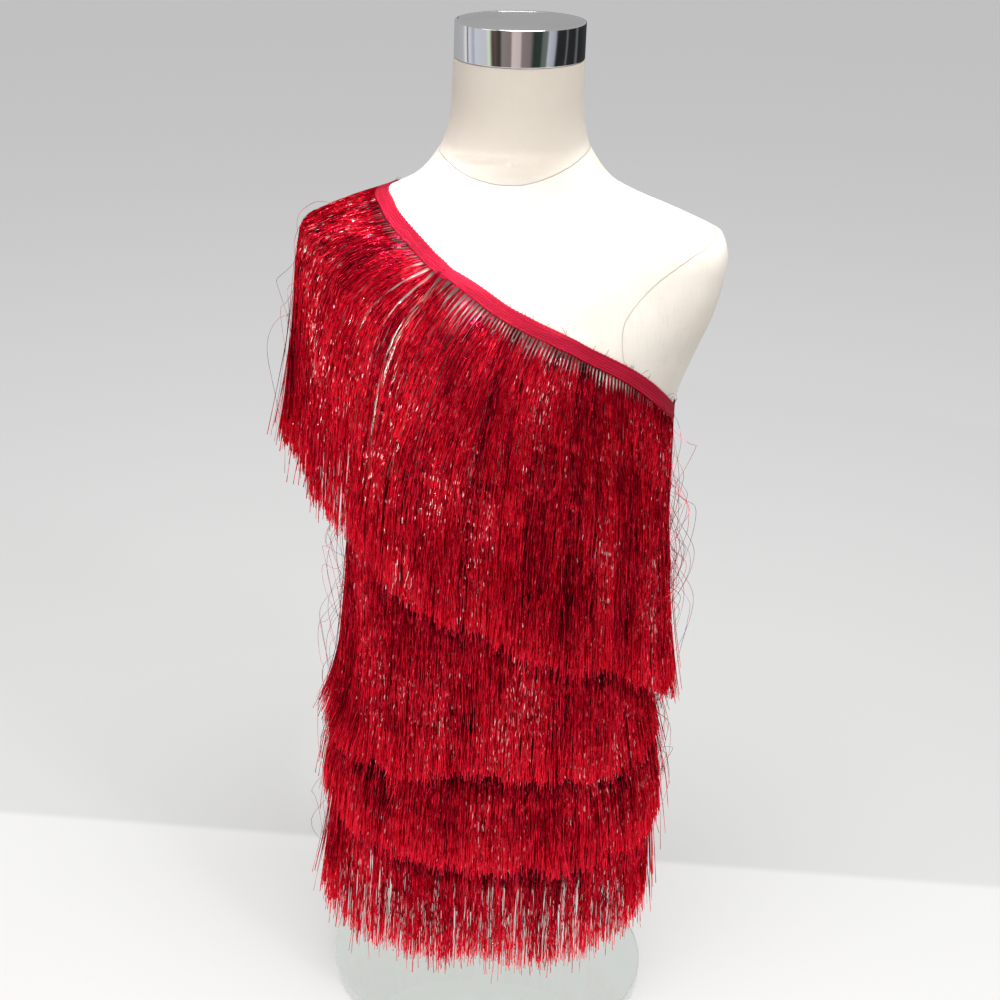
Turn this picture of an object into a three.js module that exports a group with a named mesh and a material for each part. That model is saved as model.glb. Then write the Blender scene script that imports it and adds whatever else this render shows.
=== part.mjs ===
// A one-shoulder dress of four rows of metallic fringe trim, worn by a limbless dress form.
// Millimetres, +Z up, the wearer's front towards -Y. The origin is on the floor, on the pole's axis.
import * as THREE from "three";

// The form's sections: height, half width at the side, depth to the front and to the back,
// and the power of the section's curve, where 2 is an ellipse and more is squarer.
const FORM_ROWS = [
  { z: 150, side: 124, front: 98, back: 94, power: 2.3 },
  { z: 164, side: 134, front: 106, back: 102, power: 2.3 },
  { z: 215, side: 142, front: 112, back: 110, power: 2.3 },
  { z: 300, side: 129, front: 104, back: 97, power: 2.3 },
  { z: 385, side: 108, front: 90, back: 78, power: 2.2 },
  { z: 470, side: 118, front: 100, back: 84, power: 2.2 },
  { z: 545, side: 134, front: 112, back: 92, power: 2.3 },
  { z: 602, side: 143, front: 106, back: 98, power: 2.4 },
  { z: 644, side: 156.5, front: 96, back: 101, power: 2.6 },
  { z: 680, side: 169.5, front: 88, back: 99, power: 2.9 },
  { z: 706, side: 175.5, front: 81, back: 94, power: 3 },
  { z: 723, side: 177.5, front: 76, back: 88, power: 3 },
  { z: 737, side: 174.5, front: 71, back: 81, power: 2.9 },
  { z: 747, side: 157, front: 68, back: 76, power: 2.6 },
  { z: 757, side: 135, front: 65, back: 71, power: 2.4 },
  { z: 768, side: 108, front: 61, back: 66, power: 2.2 },
  { z: 782, side: 82, front: 58, back: 61, power: 2 },
  { z: 799, side: 67, front: 57, back: 58, power: 2 },
  { z: 815, side: 58.5, front: 54, back: 55, power: 2 },
  { z: 838, side: 54, front: 53, back: 53, power: 2 },
  { z: 879, side: 52.5, front: 52, back: 52, power: 2 },
];
// The bust's two soft swells: degrees to each side of the front, and how wide, high and deep they are
const BUST = { offFront: 28, spread: 20, z: 552, height: 52, rise: 12 };
const FORM_SIDES = 40;

// Where the form's rings of points lie: each band is stepped evenly up to where the next one starts.
const RING_BANDS = [
  { from: 150, to: 164, steps: 2 },
  { from: 164, to: 700, steps: 24 },
  { from: 700, to: 810, steps: 11 },
  { from: 810, to: 879, steps: 4 },
];

// The neck cap, pole and base plate, all turned about the upright axis
const CAP = { radius: 52.5, bottom: 879.3, top: 909, edge: 2, crown: 1.2 };
const POLE = { radius: 12.5, bottom: 12.3, top: 149.7 };
const POLE_FLANGE = { radius: 32, height: 6 };
const POLE_FOOT = { radius: 20, height: 14 };
const BASE = { radius: 150, height: 12, edge: 2 };
const SIDES = { cap: 36, pole: 24, base: 48 };

// The trim: a narrow woven tape with the strands hanging from its lower edge
const TAPE = { width: 12, thickness: 1.3, seat: 0.9 };
const FRINGE = {
  gap: 0.3,
  strip: 4,
  length: 272,
  uneven: 8,
  bend: 60,
  riseLength: 38,
  flareFrom: 40,
};
const LOCK = { thickness: 2.2, tipThickness: 0.8, fill: 0.84, tipFill: 0.34, uneven: 0.1 };
const SEAM_GAP = 0.4;
const UNEVEN = { pace: 12.9898, scale: 43758.5453, nextSeed: 0.37, rowSeed: 100, stretchSeed: 50 };

// The four rows of trim, from the top. Angles run round the form from its left side, at 0, past the
// back, at 90, to the front, at 270. At each angle a row gives the height of the tape's upper edge,
// how many degrees round the form a strand drifts on its way down, and how far it stands out at the
// hem. Stations are the lengths from the tape's upper edge at which a lock may turn, and rise is how
// far the locks stand off the form.
const ROWS = [
  {
    name: "shoulder",
    locks: 28,
    stations: [28, 50, 72, 93, 118, 188, 272],
    rise: 6,
    path: [
      { angle: 0, top: 596, drift: 0, flare: 21 },
      { angle: 10, top: 600, drift: 0, flare: 19 },
      { angle: 20, top: 613, drift: 0, flare: 14 },
      { angle: 39, top: 650, drift: 2, flare: 9 },
      { angle: 51, top: 666, drift: 9, flare: 9 },
      { angle: 62, top: 677, drift: 16, flare: 8 },
      { angle: 89, top: 698, drift: 25, flare: 8 },
      { angle: 105, top: 713, drift: 27, flare: 8 },
      { angle: 122, top: 727, drift: 32, flare: 8 },
      { angle: 145, top: 755.5, drift: 22, flare: 9 },
      { angle: 152, top: 761.5, drift: 17, flare: 12 },
      { angle: 165, top: 768.5, drift: 9, flare: 18 },
      { angle: 180, top: 770, drift: 0, flare: 21 },
      { angle: 195, top: 768.5, drift: -9, flare: 18 },
      { angle: 208, top: 761.5, drift: -17, flare: 12 },
      { angle: 215, top: 755.5, drift: -22, flare: 9 },
      { angle: 238, top: 727, drift: -32, flare: 9 },
      { angle: 255, top: 712, drift: -27, flare: 9 },
      { angle: 271, top: 698, drift: -25, flare: 8 },
      { angle: 298, top: 677, drift: -16, flare: 8 },
      { angle: 309, top: 666, drift: -9, flare: 9 },
      { angle: 321, top: 650, drift: -2, flare: 9 },
      { angle: 340, top: 613, drift: 0, flare: 14 },
      { angle: 350, top: 600, drift: 0, flare: 19 },
      { angle: 360, top: 596, drift: 0, flare: 21 },
    ],
  },
  {
    name: "bust",
    locks: 28,
    stations: [60, 120, 190, 272],
    rise: 3.4,
    path: [
      { angle: 0, top: 549, drift: 0, flare: 4 },
      { angle: 38, top: 547, drift: 0, flare: 8 },
      { angle: 90, top: 553, drift: 0, flare: 9 },
      { angle: 180, top: 549, drift: 0, flare: 19 },
      { angle: 213, top: 541, drift: 0, flare: 10 },
      { angle: 238, top: 556, drift: 0, flare: 10 },
      { angle: 298, top: 554.5, drift: 0, flare: 10 },
      { angle: 322, top: 547, drift: 0, flare: 8 },
      { angle: 360, top: 549, drift: 0, flare: 4 },
    ],
  },
  {
    name: "waist",
    locks: 28,
    stations: [60, 120, 190, 272],
    rise: 3.4,
    path: [
      { angle: 0, top: 468, drift: 0, flare: 7 },
      { angle: 90, top: 462, drift: 0, flare: 10 },
      { angle: 180, top: 475, drift: 0, flare: 11 },
      { angle: 270, top: 454, drift: 0, flare: 10 },
      { angle: 360, top: 468, drift: 0, flare: 7 },
    ],
  },
  {
    name: "hip",
    locks: 28,
    stations: [45, 88, 135, 272],
    rise: 3.4,
    path: [
      { angle: 0, top: 376, drift: 0, flare: 5 },
      { angle: 38, top: 362, drift: 0, flare: 8 },
      { angle: 90, top: 352, drift: 0, flare: 9 },
      { angle: 142, top: 356, drift: 0, flare: 14 },
      { angle: 180, top: 359, drift: 0, flare: 19 },
      { angle: 206, top: 354, drift: 0, flare: 14 },
      { angle: 240, top: 352, drift: 0, flare: 10 },
      { angle: 270, top: 353.5, drift: 0, flare: 10 },
      { angle: 300, top: 355, drift: 0, flare: 10 },
      { angle: 322, top: 362, drift: 0, flare: 8 },
      { angle: 342, top: 371, drift: 0, flare: 6 },
      { angle: 360, top: 376, drift: 0, flare: 5 },
    ],
  },
];
const STRETCHES = [
  { side: "back", from: 0, to: 180 },
  { side: "front", from: 180, to: 360 },
];

// The surfaces that the strands hang over are kept on a grid of angles and heights
const GRID = { angle: 3, height: 5, top: 900 };
const LAYER = { gap: 5, slope: 0.25 };
const SLOPE_SPAN = { angle: 1.5, height: 2 };

// A strand's way is found in steps of this length. It leaves the tape no more aslant than this
// cosine says, where 1 is square to the tape.
const MARCH = 3;
const LEAST_SQUARE = 0.6;

const COLOURS = {
  linen: { color: 0xe6e2da, roughness: 0.9, metalness: 0 },
  chrome: { color: 0xc9ccd0, roughness: 0.12, metalness: 1 },
  glass: { color: 0xd9e6de, roughness: 0.08, metalness: 0 },
  tape: { color: 0xb8081c, roughness: 0.75, metalness: 0 },
  tinsel: { color: 0xa00a20, roughness: 0.3, metalness: 0.7 },
};

const group = new THREE.Group();
const radians = THREE.MathUtils.degToRad;
const clamp = THREE.MathUtils.clamp;
const smooth = (value) => THREE.MathUtils.smoothstep(value, 0, 1);
const fullTurn = (angle) => THREE.MathUtils.euclideanModulo(angle, 360);

function addPiece(name, geometry, finish) {
  geometry.computeVertexNormals();
  const mesh = new THREE.Mesh(geometry, new THREE.MeshStandardMaterial(COLOURS[finish]));
  mesh.name = name;
  group.add(mesh);
}

// A smooth curve through one column of a table, which never swings past the table's own values
function columnAt(rows, key, column, at) {
  const last = rows.length - 1;
  const x = clamp(at, rows[0][key], rows[last][key]);
  let i = 0;
  while (i < last - 1 && rows[i + 1][key] <= x) i += 1;
  const slope = (n) => (rows[n + 1][column] - rows[n][column]) / (rows[n + 1][key] - rows[n][key]);
  const tangent = (n) => {
    if (n === 0) return slope(0);
    if (n === last) return slope(last - 1);
    const before = slope(n - 1);
    const after = slope(n);
    return before * after > 0 ? (2 * before * after) / (before + after) : 0;
  };
  const step = rows[i + 1][key] - rows[i][key];
  const t = (x - rows[i][key]) / step;
  return rows[i][column] * (1 + 2 * t) * (1 - t) ** 2
    + tangent(i) * step * t * (1 - t) ** 2
    + rows[i + 1][column] * t * t * (3 - 2 * t)
    + tangent(i + 1) * step * t * t * (t - 1);
}

// How far the form's surface is from the axis, at an angle in degrees and a height
function formRadius(angle, z) {
  const section = (column) => columnAt(FORM_ROWS, "z", column, z);
  const power = section("power");
  const across = Math.cos(radians(angle));
  const along = Math.sin(radians(angle));
  const depth = along < 0 ? section("front") : section("back");
  const reach = Math.abs(across / section("side")) ** power + Math.abs(along / depth) ** power;
  const round = reach ** (-1 / power);
  const offFront = Math.abs(fullTurn(angle) - 270);
  const beside = (offFront - BUST.offFront) / BUST.spread;
  const above = (z - BUST.z) / BUST.height;
  return round + BUST.rise * Math.exp(-beside * beside - above * above);
}

// A closed body through rings of points, with a flat fan over each end
function ringBody(rings) {
  const sides = rings[0].length;
  const points = rings.flat();
  const faces = [];
  for (let ring = 0; ring < rings.length - 1; ring += 1) {
    for (let side = 0; side < sides; side += 1) {
      const here = ring * sides + side;
      const next = ring * sides + ((side + 1) % sides);
      faces.push([here, next, next + sides], [here, next + sides, here + sides]);
    }
  }
  const last = (rings.length - 1) * sides;
  for (let side = 1; side < sides - 1; side += 1) {
    faces.push([0, side + 1, side], [last, last + side, last + side + 1]);
  }
  return meshOf(points, faces);
}

function meshOf(points, faces) {
  const geometry = new THREE.BufferGeometry();
  const numbers = points.flatMap((point) => point.toArray());
  geometry.setAttribute("position", new THREE.Float32BufferAttribute(numbers, 3));
  geometry.setIndex(faces.flat());
  return geometry;
}

// The form's body and neck, one closed shape from the hip to under the cap
function formBody() {
  const heights = [RING_BANDS[0].from];
  for (const band of RING_BANDS) {
    for (let n = 1; n <= band.steps; n += 1) {
      heights.push(band.from + ((band.to - band.from) * n) / band.steps);
    }
  }
  return ringBody(heights.map((z) => {
    const ring = [];
    for (let n = 0; n < FORM_SIDES; n += 1) {
      const turn = (2 * Math.PI * n) / FORM_SIDES;
      const depth = columnAt(FORM_ROWS, "z", Math.sin(turn) < 0 ? "front" : "back", z);
      const side = columnAt(FORM_ROWS, "z", "side", z);
      const angle = THREE.MathUtils.radToDeg(Math.atan2(depth * Math.sin(turn), side * Math.cos(turn)));
      ring.push(surfaceAt(formRadius(angle, z), angle, z));
    }
    return ring;
  }));
}

function surfaceAt(radius, angle, z) {
  return new THREE.Vector3(radius * Math.cos(radians(angle)), radius * Math.sin(radians(angle)), z);
}

// A round piece turned about the upright axis, from a profile of radius and height
function turned(profile, segments) {
  const geometry = new THREE.LatheGeometry(profile.map(([r, z]) => new THREE.Vector2(r, z)), segments);
  return geometry.rotateX(Math.PI / 2);
}

// The surface that a row's strands hang over: down from its own tape it follows the form out to the
// widest place, falls straight from there, and keeps clear of the row that lies underneath.
function drapeGrid(row, inner) {
  const columns = [];
  for (let angle = 0; angle < 360; angle += GRID.angle) {
    const top = columnAt(row.path, "angle", "top", angle);
    const innerTop = inner ? columnAt(inner.path, "angle", "top", angle) : 0;
    const column = [];
    let widest = 0;
    for (let n = GRID.top / GRID.height; n >= 0; n -= 1) {
      const z = n * GRID.height;
      const form = formRadius(angle, z);
      if (z > top) {
        column[n] = form;
        continue;
      }
      let lies = form;
      if (inner) {
        const under = gridRadius(inner.grid, angle, Math.min(z, innerTop)) + LAYER.gap;
        lies = Math.max(lies, under - LAYER.slope * Math.max(0, z - innerTop));
      }
      widest = Math.max(widest, lies);
      column[n] = widest;
    }
    columns.push(column);
  }
  return columns;
}

function gridRadius(grid, angle, z) {
  const across = fullTurn(angle) / GRID.angle;
  const up = clamp(z, 0, GRID.top) / GRID.height;
  const column = Math.floor(across);
  const level = Math.min(Math.floor(up), GRID.top / GRID.height - 1);
  const left = grid[column];
  const right = grid[(column + 1) % grid.length];
  const low = THREE.MathUtils.lerp(left[level], right[level], across - column);
  const high = THREE.MathUtils.lerp(left[level + 1], right[level + 1], across - column);
  return THREE.MathUtils.lerp(low, high, up - level);
}

// A point of the surface that a row hangs over
function onRow(row, angle, z) {
  return surfaceAt(gridRadius(row.grid, angle, z), angle, z);
}

// That surface's slopes round and up, and its outward direction, at one place
function frameAt(row, angle, z) {
  const turn = SLOPE_SPAN.angle;
  const climb = SLOPE_SPAN.height;
  const round = onRow(row, angle + turn, z).sub(onRow(row, angle - turn, z)).divideScalar(2 * turn);
  const up = onRow(row, angle, z + climb).sub(onRow(row, angle, z - climb)).divideScalar(2 * climb);
  const out = round.clone().cross(up).normalize();
  return { round, up, out };
}

// One strand's way down from the tape's upper edge, in even steps along its own length. It starts
// aslant, drifts round the form, and then hangs straight. Slant is how much longer the way across the
// tape is than the tape's width.
function strandWay(row, angle) {
  const columnOf = (column, a) => columnAt(row.path, "angle", column, fullTurn(a));
  const drift = columnOf("drift", angle);
  const flare = columnOf("flare", angle);
  const drifted = (gone) => angle + drift * (1 - Math.exp(-gone / FRINGE.bend));
  const edge = (a) => onRow(row, a, columnOf("top", a));
  const along = edge(angle + 1).sub(edge(angle - 1)).normalize();
  const places = [];
  let z = columnOf("top", angle);
  for (let gone = 0; gone <= FRINGE.length + FRINGE.uneven + MARCH; gone += MARCH) {
    const here = drifted(gone);
    const { round, up, out } = frameAt(row, here, z);
    places.push({ point: onRow(row, here, z), out });
    const sideways = round.multiplyScalar(drifted(gone + MARCH) - here);
    const across = sideways.dot(up);
    const left = across * across - up.dot(up) * (sideways.dot(sideways) - MARCH * MARCH);
    z -= (across + Math.sqrt(Math.max(0, left))) / up.dot(up);
  }
  const square = along.clone().cross(places[0].out).normalize();
  const start = places[1].point.clone().sub(places[0].point).normalize();
  return { places, flare, slant: 1 / Math.max(start.dot(square), LEAST_SQUARE) };
}

// The place on a strand's way, at a length from the tape's upper edge and a height off the surface
function placeOn(way, gone, off) {
  const at = gone / MARCH;
  const n = Math.min(Math.floor(at), way.places.length - 2);
  const from = way.places[n];
  const to = way.places[n + 1];
  const out = from.out.clone().lerp(to.out, at - n).normalize();
  const point = from.point.clone().lerp(to.point, at - n).addScaledVector(out, off);
  return { point, out };
}

// A place at the tape or the strip under it, where lengths are square to the tape
function atRoot(way, width, off) {
  return placeOn(way, width * way.slant, off).point;
}

// How far a strand's middle is from the surface it hangs over
function standOff(gone, flare, rise) {
  const seated = TAPE.seat + TAPE.thickness / 2;
  const start = TAPE.width + FRINGE.gap + FRINGE.strip;
  const lifted = smooth((gone - start) / FRINGE.riseLength) * (rise - seated);
  const flaring = clamp(gone, FRINGE.flareFrom, FRINGE.length) - FRINGE.flareFrom;
  return seated + lifted + flare * (flaring / (FRINGE.length - FRINGE.flareFrom)) ** 2;
}

// Angles that cut a stretch of a row's tape into even lengths
function evenAngles(row, stretch, count) {
  const marks = [{ angle: stretch.from, length: 0 }];
  const edge = (a) => {
    const z = columnAt(row.path, "angle", "top", a);
    return surfaceAt(formRadius(a, z), a, z);
  };
  for (let angle = stretch.from + 1; angle <= stretch.to; angle += 1) {
    const last = marks[marks.length - 1];
    marks.push({ angle, length: last.length + edge(angle).distanceTo(edge(last.angle)) });
  }
  const whole = marks[marks.length - 1].length;
  const usable = whole - SEAM_GAP;
  const angles = [];
  for (let n = 0; n <= count; n += 1) {
    const length = SEAM_GAP / 2 + (usable * n) / count;
    const next = marks.findIndex((mark) => mark.length >= length);
    const before = marks[next - 1];
    const part = (length - before.length) / (marks[next].length - before.length);
    angles.push(before.angle + part);
  }
  return angles;
}

// The woven tape, laid flat on the form with its width square to its own run
function tapeStretch(ways) {
  const outer = TAPE.seat + TAPE.thickness;
  return ringBody(ways.map((way) => [
    atRoot(way, 0, TAPE.seat),
    atRoot(way, 0, outer),
    atRoot(way, TAPE.width, outer),
    atRoot(way, TAPE.width, TAPE.seat),
  ]));
}

// A repeatable uneven number from 0 to 1: the digits of a wave far behind its point
function uneven(seed) {
  const wave = Math.sin(seed * UNEVEN.pace) * UNEVEN.scale;
  return wave - Math.floor(wave);
}

// The fringe of one stretch: a narrow strip under the tape, with flat locks of strands fused to it
function fringeStretch(row, ways, seed) {
  const stripTop = TAPE.width + FRINGE.gap;
  const stripEnd = stripTop + FRINGE.strip;
  const outer = TAPE.seat + TAPE.thickness;
  const points = [];
  const faces = [];
  const quad = (a, b, c, d) => faces.push([a, c, b], [a, d, c]);
  const addPoint = (point) => points.push(point) - 1;
  const strip = ways.map((way) => ({
    upIn: addPoint(atRoot(way, stripTop, TAPE.seat)),
    upOut: addPoint(atRoot(way, stripTop, outer)),
    lowOut: addPoint(atRoot(way, stripEnd, outer)),
    lowIn: addPoint(atRoot(way, stripEnd, TAPE.seat)),
  }));
  const onWay = (way, gone) => placeOn(way, gone, standOff(gone, way.flare, row.rise));
  for (let n = 0; n < row.locks; n += 1) {
    const left = strip[n];
    const right = strip[n + 1];
    quad(left.upIn, right.upIn, right.upOut, left.upOut);
    quad(left.upOut, right.upOut, right.lowOut, left.lowOut);
    quad(left.lowIn, right.lowIn, right.upIn, left.upIn);
    let ring = [left.lowIn, left.lowOut, right.lowOut, right.lowIn];
    const longer = (uneven(seed + n) - 0.5) * 2 * FRINGE.uneven;
    const fuller = LOCK.fill - LOCK.uneven * uneven(seed + n + UNEVEN.nextSeed);
    row.stations.forEach((station, step) => {
      const last = step === row.stations.length - 1;
      const gone = last ? station + longer : station;
      const fill = last ? LOCK.tipFill : fuller;
      const half = (last ? LOCK.tipThickness : LOCK.thickness) / 2;
      const start = onWay(ways[n], gone);
      const end = onWay(ways[n + 1], gone);
      const out = start.out.clone().add(end.out).normalize();
      const corner = (part, off) => {
        const middle = start.point.clone().lerp(end.point, part);
        return addPoint(middle.addScaledVector(out, off));
      };
      const from = 0.5 - fill / 2;
      const to = 0.5 + fill / 2;
      const next = [corner(from, -half), corner(from, half), corner(to, half), corner(to, -half)];
      for (let side = 0; side < 4; side += 1) {
        const beside = (side + 1) % 4;
        quad(ring[side], ring[beside], next[beside], next[side]);
      }
      ring = next;
    });
    quad(ring[0], ring[1], ring[2], ring[3]);
  }
  const first = strip[0];
  const end = strip[row.locks];
  quad(first.upIn, first.upOut, first.lowOut, first.lowIn);
  quad(end.upIn, end.lowIn, end.lowOut, end.upOut);
  return meshOf(points, faces);
}

// The stand and the form
addPiece("torso", formBody(), "linen");
addPiece("neck_cap", turned([
  [0, CAP.bottom],
  [CAP.radius, CAP.bottom],
  [CAP.radius, CAP.top - CAP.crown - CAP.edge],
  [CAP.radius - CAP.edge / 2, CAP.top - CAP.crown - CAP.edge / 3],
  [CAP.radius - CAP.edge * 2, CAP.top - CAP.crown],
  [0, CAP.top],
], SIDES.cap), "chrome");
addPiece("pole", turned([
  [0, POLE.bottom],
  [POLE_FOOT.radius, POLE.bottom],
  [POLE_FOOT.radius, POLE.bottom + POLE_FOOT.height],
  [POLE.radius, POLE.bottom + POLE_FOOT.height],
  [POLE.radius, POLE.top - POLE_FLANGE.height],
  [POLE_FLANGE.radius, POLE.top - POLE_FLANGE.height],
  [POLE_FLANGE.radius, POLE.top],
  [0, POLE.top],
], SIDES.pole), "chrome");
addPiece("base_plate", turned([
  [0, 0],
  [BASE.radius, 0],
  [BASE.radius, BASE.height - BASE.edge],
  [BASE.radius - BASE.edge, BASE.height],
  [0, BASE.height],
], SIDES.base), "glass");

// The rows are settled from the lowest, which lies next to the form, to the highest
ROWS.forEach((row, order) => {
  row.order = order;
});
for (const row of [...ROWS].reverse()) {
  row.grid = drapeGrid(row, ROWS[row.order + 1]);
}
for (const row of ROWS) {
  STRETCHES.forEach((stretch, half) => {
    const seed = UNEVEN.rowSeed * row.order + UNEVEN.stretchSeed * half;
    const ways = evenAngles(row, stretch, row.locks).map((angle) => strandWay(row, angle));
    addPiece(`tape_${row.name}_${stretch.side}`, tapeStretch(ways), "tape");
    addPiece(`fringe_${row.name}_${stretch.side}`, fringeStretch(row, ways, seed), "tinsel");
  });
}

export default group;
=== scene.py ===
# %% [markdown]
# # A one-shoulder fringe dress on a dress form
#
# The real object is a stage dress of four rows of metallic red fringe trim, worn by a padded,
# limbless dress form with a polished cap on its neck. A plain solid model of it is already made and
# packed. This lesson loads that model as a fixed frame and makes the fine pieces that show: the
# cloth-covered form, the woven tapes, thousands of tinsel strands, and the stand.

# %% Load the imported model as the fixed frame
import math

import bpy
import numpy as np
from mathutils import Matrix, Vector


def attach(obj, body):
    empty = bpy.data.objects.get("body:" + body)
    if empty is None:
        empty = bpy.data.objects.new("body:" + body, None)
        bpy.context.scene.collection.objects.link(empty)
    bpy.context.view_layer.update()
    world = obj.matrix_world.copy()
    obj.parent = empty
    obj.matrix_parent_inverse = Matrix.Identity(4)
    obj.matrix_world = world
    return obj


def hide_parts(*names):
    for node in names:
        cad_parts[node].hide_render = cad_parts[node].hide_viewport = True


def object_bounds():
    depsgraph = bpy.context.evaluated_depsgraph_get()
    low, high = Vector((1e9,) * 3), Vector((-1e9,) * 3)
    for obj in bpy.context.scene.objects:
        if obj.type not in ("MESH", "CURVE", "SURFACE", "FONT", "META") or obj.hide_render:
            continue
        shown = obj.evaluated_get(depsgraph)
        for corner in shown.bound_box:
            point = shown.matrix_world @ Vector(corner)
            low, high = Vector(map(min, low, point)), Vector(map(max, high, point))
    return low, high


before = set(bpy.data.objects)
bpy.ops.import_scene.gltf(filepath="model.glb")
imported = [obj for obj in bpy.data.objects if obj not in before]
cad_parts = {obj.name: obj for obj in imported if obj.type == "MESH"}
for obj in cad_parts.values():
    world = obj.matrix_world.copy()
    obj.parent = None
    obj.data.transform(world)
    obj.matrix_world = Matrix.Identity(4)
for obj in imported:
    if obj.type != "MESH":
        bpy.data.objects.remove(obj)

cad_box = [list(corner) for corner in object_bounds()]
print("nodes", len(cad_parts), "box", cad_box)

# %% [markdown]
# ## Lengths
#
# A maker's drawing is in millimetres, and Blender works in metres. All the tables below keep the
# drawing's numbers, and MM turns them into metres where a mesh or a light is made.

# %% One length for all
MM = 0.001

# %% [markdown]
# ## The camera
#
# The camera stands where the photographer stood: two steps in front, a little above the cap,
# looking down, and held very slightly askew. The picture is the left part of a wider one, so the lens
# is shifted a little. The camera is made first, so that every later step can be looked at from there.

# %% Stand the camera in front of the form
EYE_AWAY = 1460
EYE_HEIGHT = 1131
EYE_TURN = 2.53
EYE_AIM = -4.05
LOOK_DOWN = 23.29
ASKEW = 0.5
LENS = 64.65
FRAMING = (0.1134, -0.0134)


def stand_camera():
    turn = math.radians(EYE_TURN)
    heading = turn - math.radians(EYE_AIM)
    down = math.radians(LOOK_DOWN)
    lean = math.radians(ASKEW)
    level = Vector((-math.sin(heading), math.cos(heading), 0))
    ahead = level * math.cos(down) - Vector((0, 0, math.sin(down)))
    right = ahead.cross(Vector((0, 0, 1))).normalized()
    up = right.cross(ahead)
    across = right * math.cos(lean) + up * math.sin(lean)
    above = up * math.cos(lean) - right * math.sin(lean)
    camera = bpy.data.objects.new("camera", bpy.data.cameras.new("camera"))
    bpy.context.scene.collection.objects.link(camera)
    camera.data.lens = LENS
    camera.data.clip_start = 0.05
    camera.data.clip_end = 100
    camera.data.shift_x, camera.data.shift_y = FRAMING
    place = Vector((math.sin(turn), -math.cos(turn), 0)) * EYE_AWAY + Vector((0, 0, EYE_HEIGHT))
    axes = Matrix((across, above, -ahead)).transposed()
    camera.matrix_world = Matrix.Translation(place * MM) @ axes.to_4x4()
    bpy.context.scene.camera = camera
    return camera


camera = stand_camera()
print("camera at", [round(x, 3) for x in camera.matrix_world.translation])

# %% [markdown]
# ## The form's shape, as sums
#
# A dress form is drafted from level sections. Each row of the table is one section: its height, its
# half width at the side, its depth to the front and to the back, and the power of its curve, where 2
# is an ellipse and more is squarer. A smooth curve joins the rows, and two soft swells make the bust.
# It is worked out for whole arrays of angles and heights at once, because the form, the tapes and
# every strand ask it for places.

# %% The form's sections
FORM = np.array([
    (150, 124, 98, 94, 2.3),
    (164, 134, 106, 102, 2.3),
    (215, 142, 112, 110, 2.3),
    (300, 129, 104, 97, 2.3),
    (385, 108, 90, 78, 2.2),
    (470, 118, 100, 84, 2.2),
    (545, 134, 112, 92, 2.3),
    (602, 143, 106, 98, 2.4),
    (644, 156.5, 96, 101, 2.6),
    (680, 169.5, 88, 99, 2.9),
    (706, 175.5, 81, 94, 3),
    (723, 177.5, 76, 88, 3),
    (737, 174.5, 71, 81, 2.9),
    (747, 157, 68, 76, 2.6),
    (757, 135, 65, 71, 2.4),
    (768, 108, 61, 66, 2.2),
    (782, 82, 58, 61, 2),
    (799, 67, 57, 58, 2),
    (815, 58.5, 54, 55, 2),
    (838, 54, 53, 53, 2),
    (879, 52.5, 52, 52, 2),
])
SIDE, FRONT, BACK, POWER = 1, 2, 3, 4
BUST_OFF_FRONT = 28
BUST_SPREAD = 20
BUST_HEIGHT = 552
BUST_REACH = 52
BUST_RISE = 12


def curve_at(table, column, at):
    """A smooth curve through one column of a table, which never swings past the table's values."""
    xs = table[:, 0]
    ys = table[:, column]
    x = np.clip(at, xs[0], xs[-1])
    steps = np.diff(xs)
    slopes = np.diff(ys) / steps
    before = slopes[:-1]
    after = slopes[1:]
    rising = before * after > 0
    total = np.where(rising, before + after, 1)
    inner = np.where(rising, 2 * before * after / total, 0)
    tangents = np.concatenate((slopes[:1], inner, slopes[-1:]))
    i = np.clip(np.searchsorted(xs, x, side="right") - 1, 0, len(xs) - 2)
    t = (x - xs[i]) / steps[i]
    return (ys[i] * (1 + 2 * t) * (1 - t) ** 2
            + tangents[i] * steps[i] * t * (1 - t) ** 2
            + ys[i + 1] * t * t * (3 - 2 * t)
            + tangents[i + 1] * steps[i] * t * t * (t - 1))


def form_radius(angle, z):
    """How far the form's surface is from its axis. Angle 0 is its left side, and 270 its front."""
    across = np.cos(np.radians(angle))
    along = np.sin(np.radians(angle))
    power = curve_at(FORM, POWER, z)
    depth = np.where(along < 0, curve_at(FORM, FRONT, z), curve_at(FORM, BACK, z))
    reach = np.abs(across / curve_at(FORM, SIDE, z)) ** power + np.abs(along / depth) ** power
    beside = (np.abs(np.mod(angle, 360) - 270) - BUST_OFF_FRONT) / BUST_SPREAD
    above = (z - BUST_HEIGHT) / BUST_REACH
    return reach ** (-1 / power) + BUST_RISE * np.exp(-beside ** 2 - above ** 2)


def around(radius, angle, z):
    """The point at a radius, an angle and a height."""
    turn = np.radians(angle)
    return np.stack(np.broadcast_arrays(radius * np.cos(turn), radius * np.sin(turn), z), axis=-1)


print("bust depth", round(float(form_radius(270, 552)), 1), "mm")

# %% [markdown]
# ## Where the strands hang
#
# A fringe follows the body down from its tape as far as the widest place, falls straight from there,
# and lies over the row underneath. So each row gets a surface of its own, kept as a grid of radii,
# and the rows are settled from the lowest to the highest. On that surface a strand's way down is
# walked in short steps: it may leave the tape aslant, drift round the form, and then hang straight.

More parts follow.
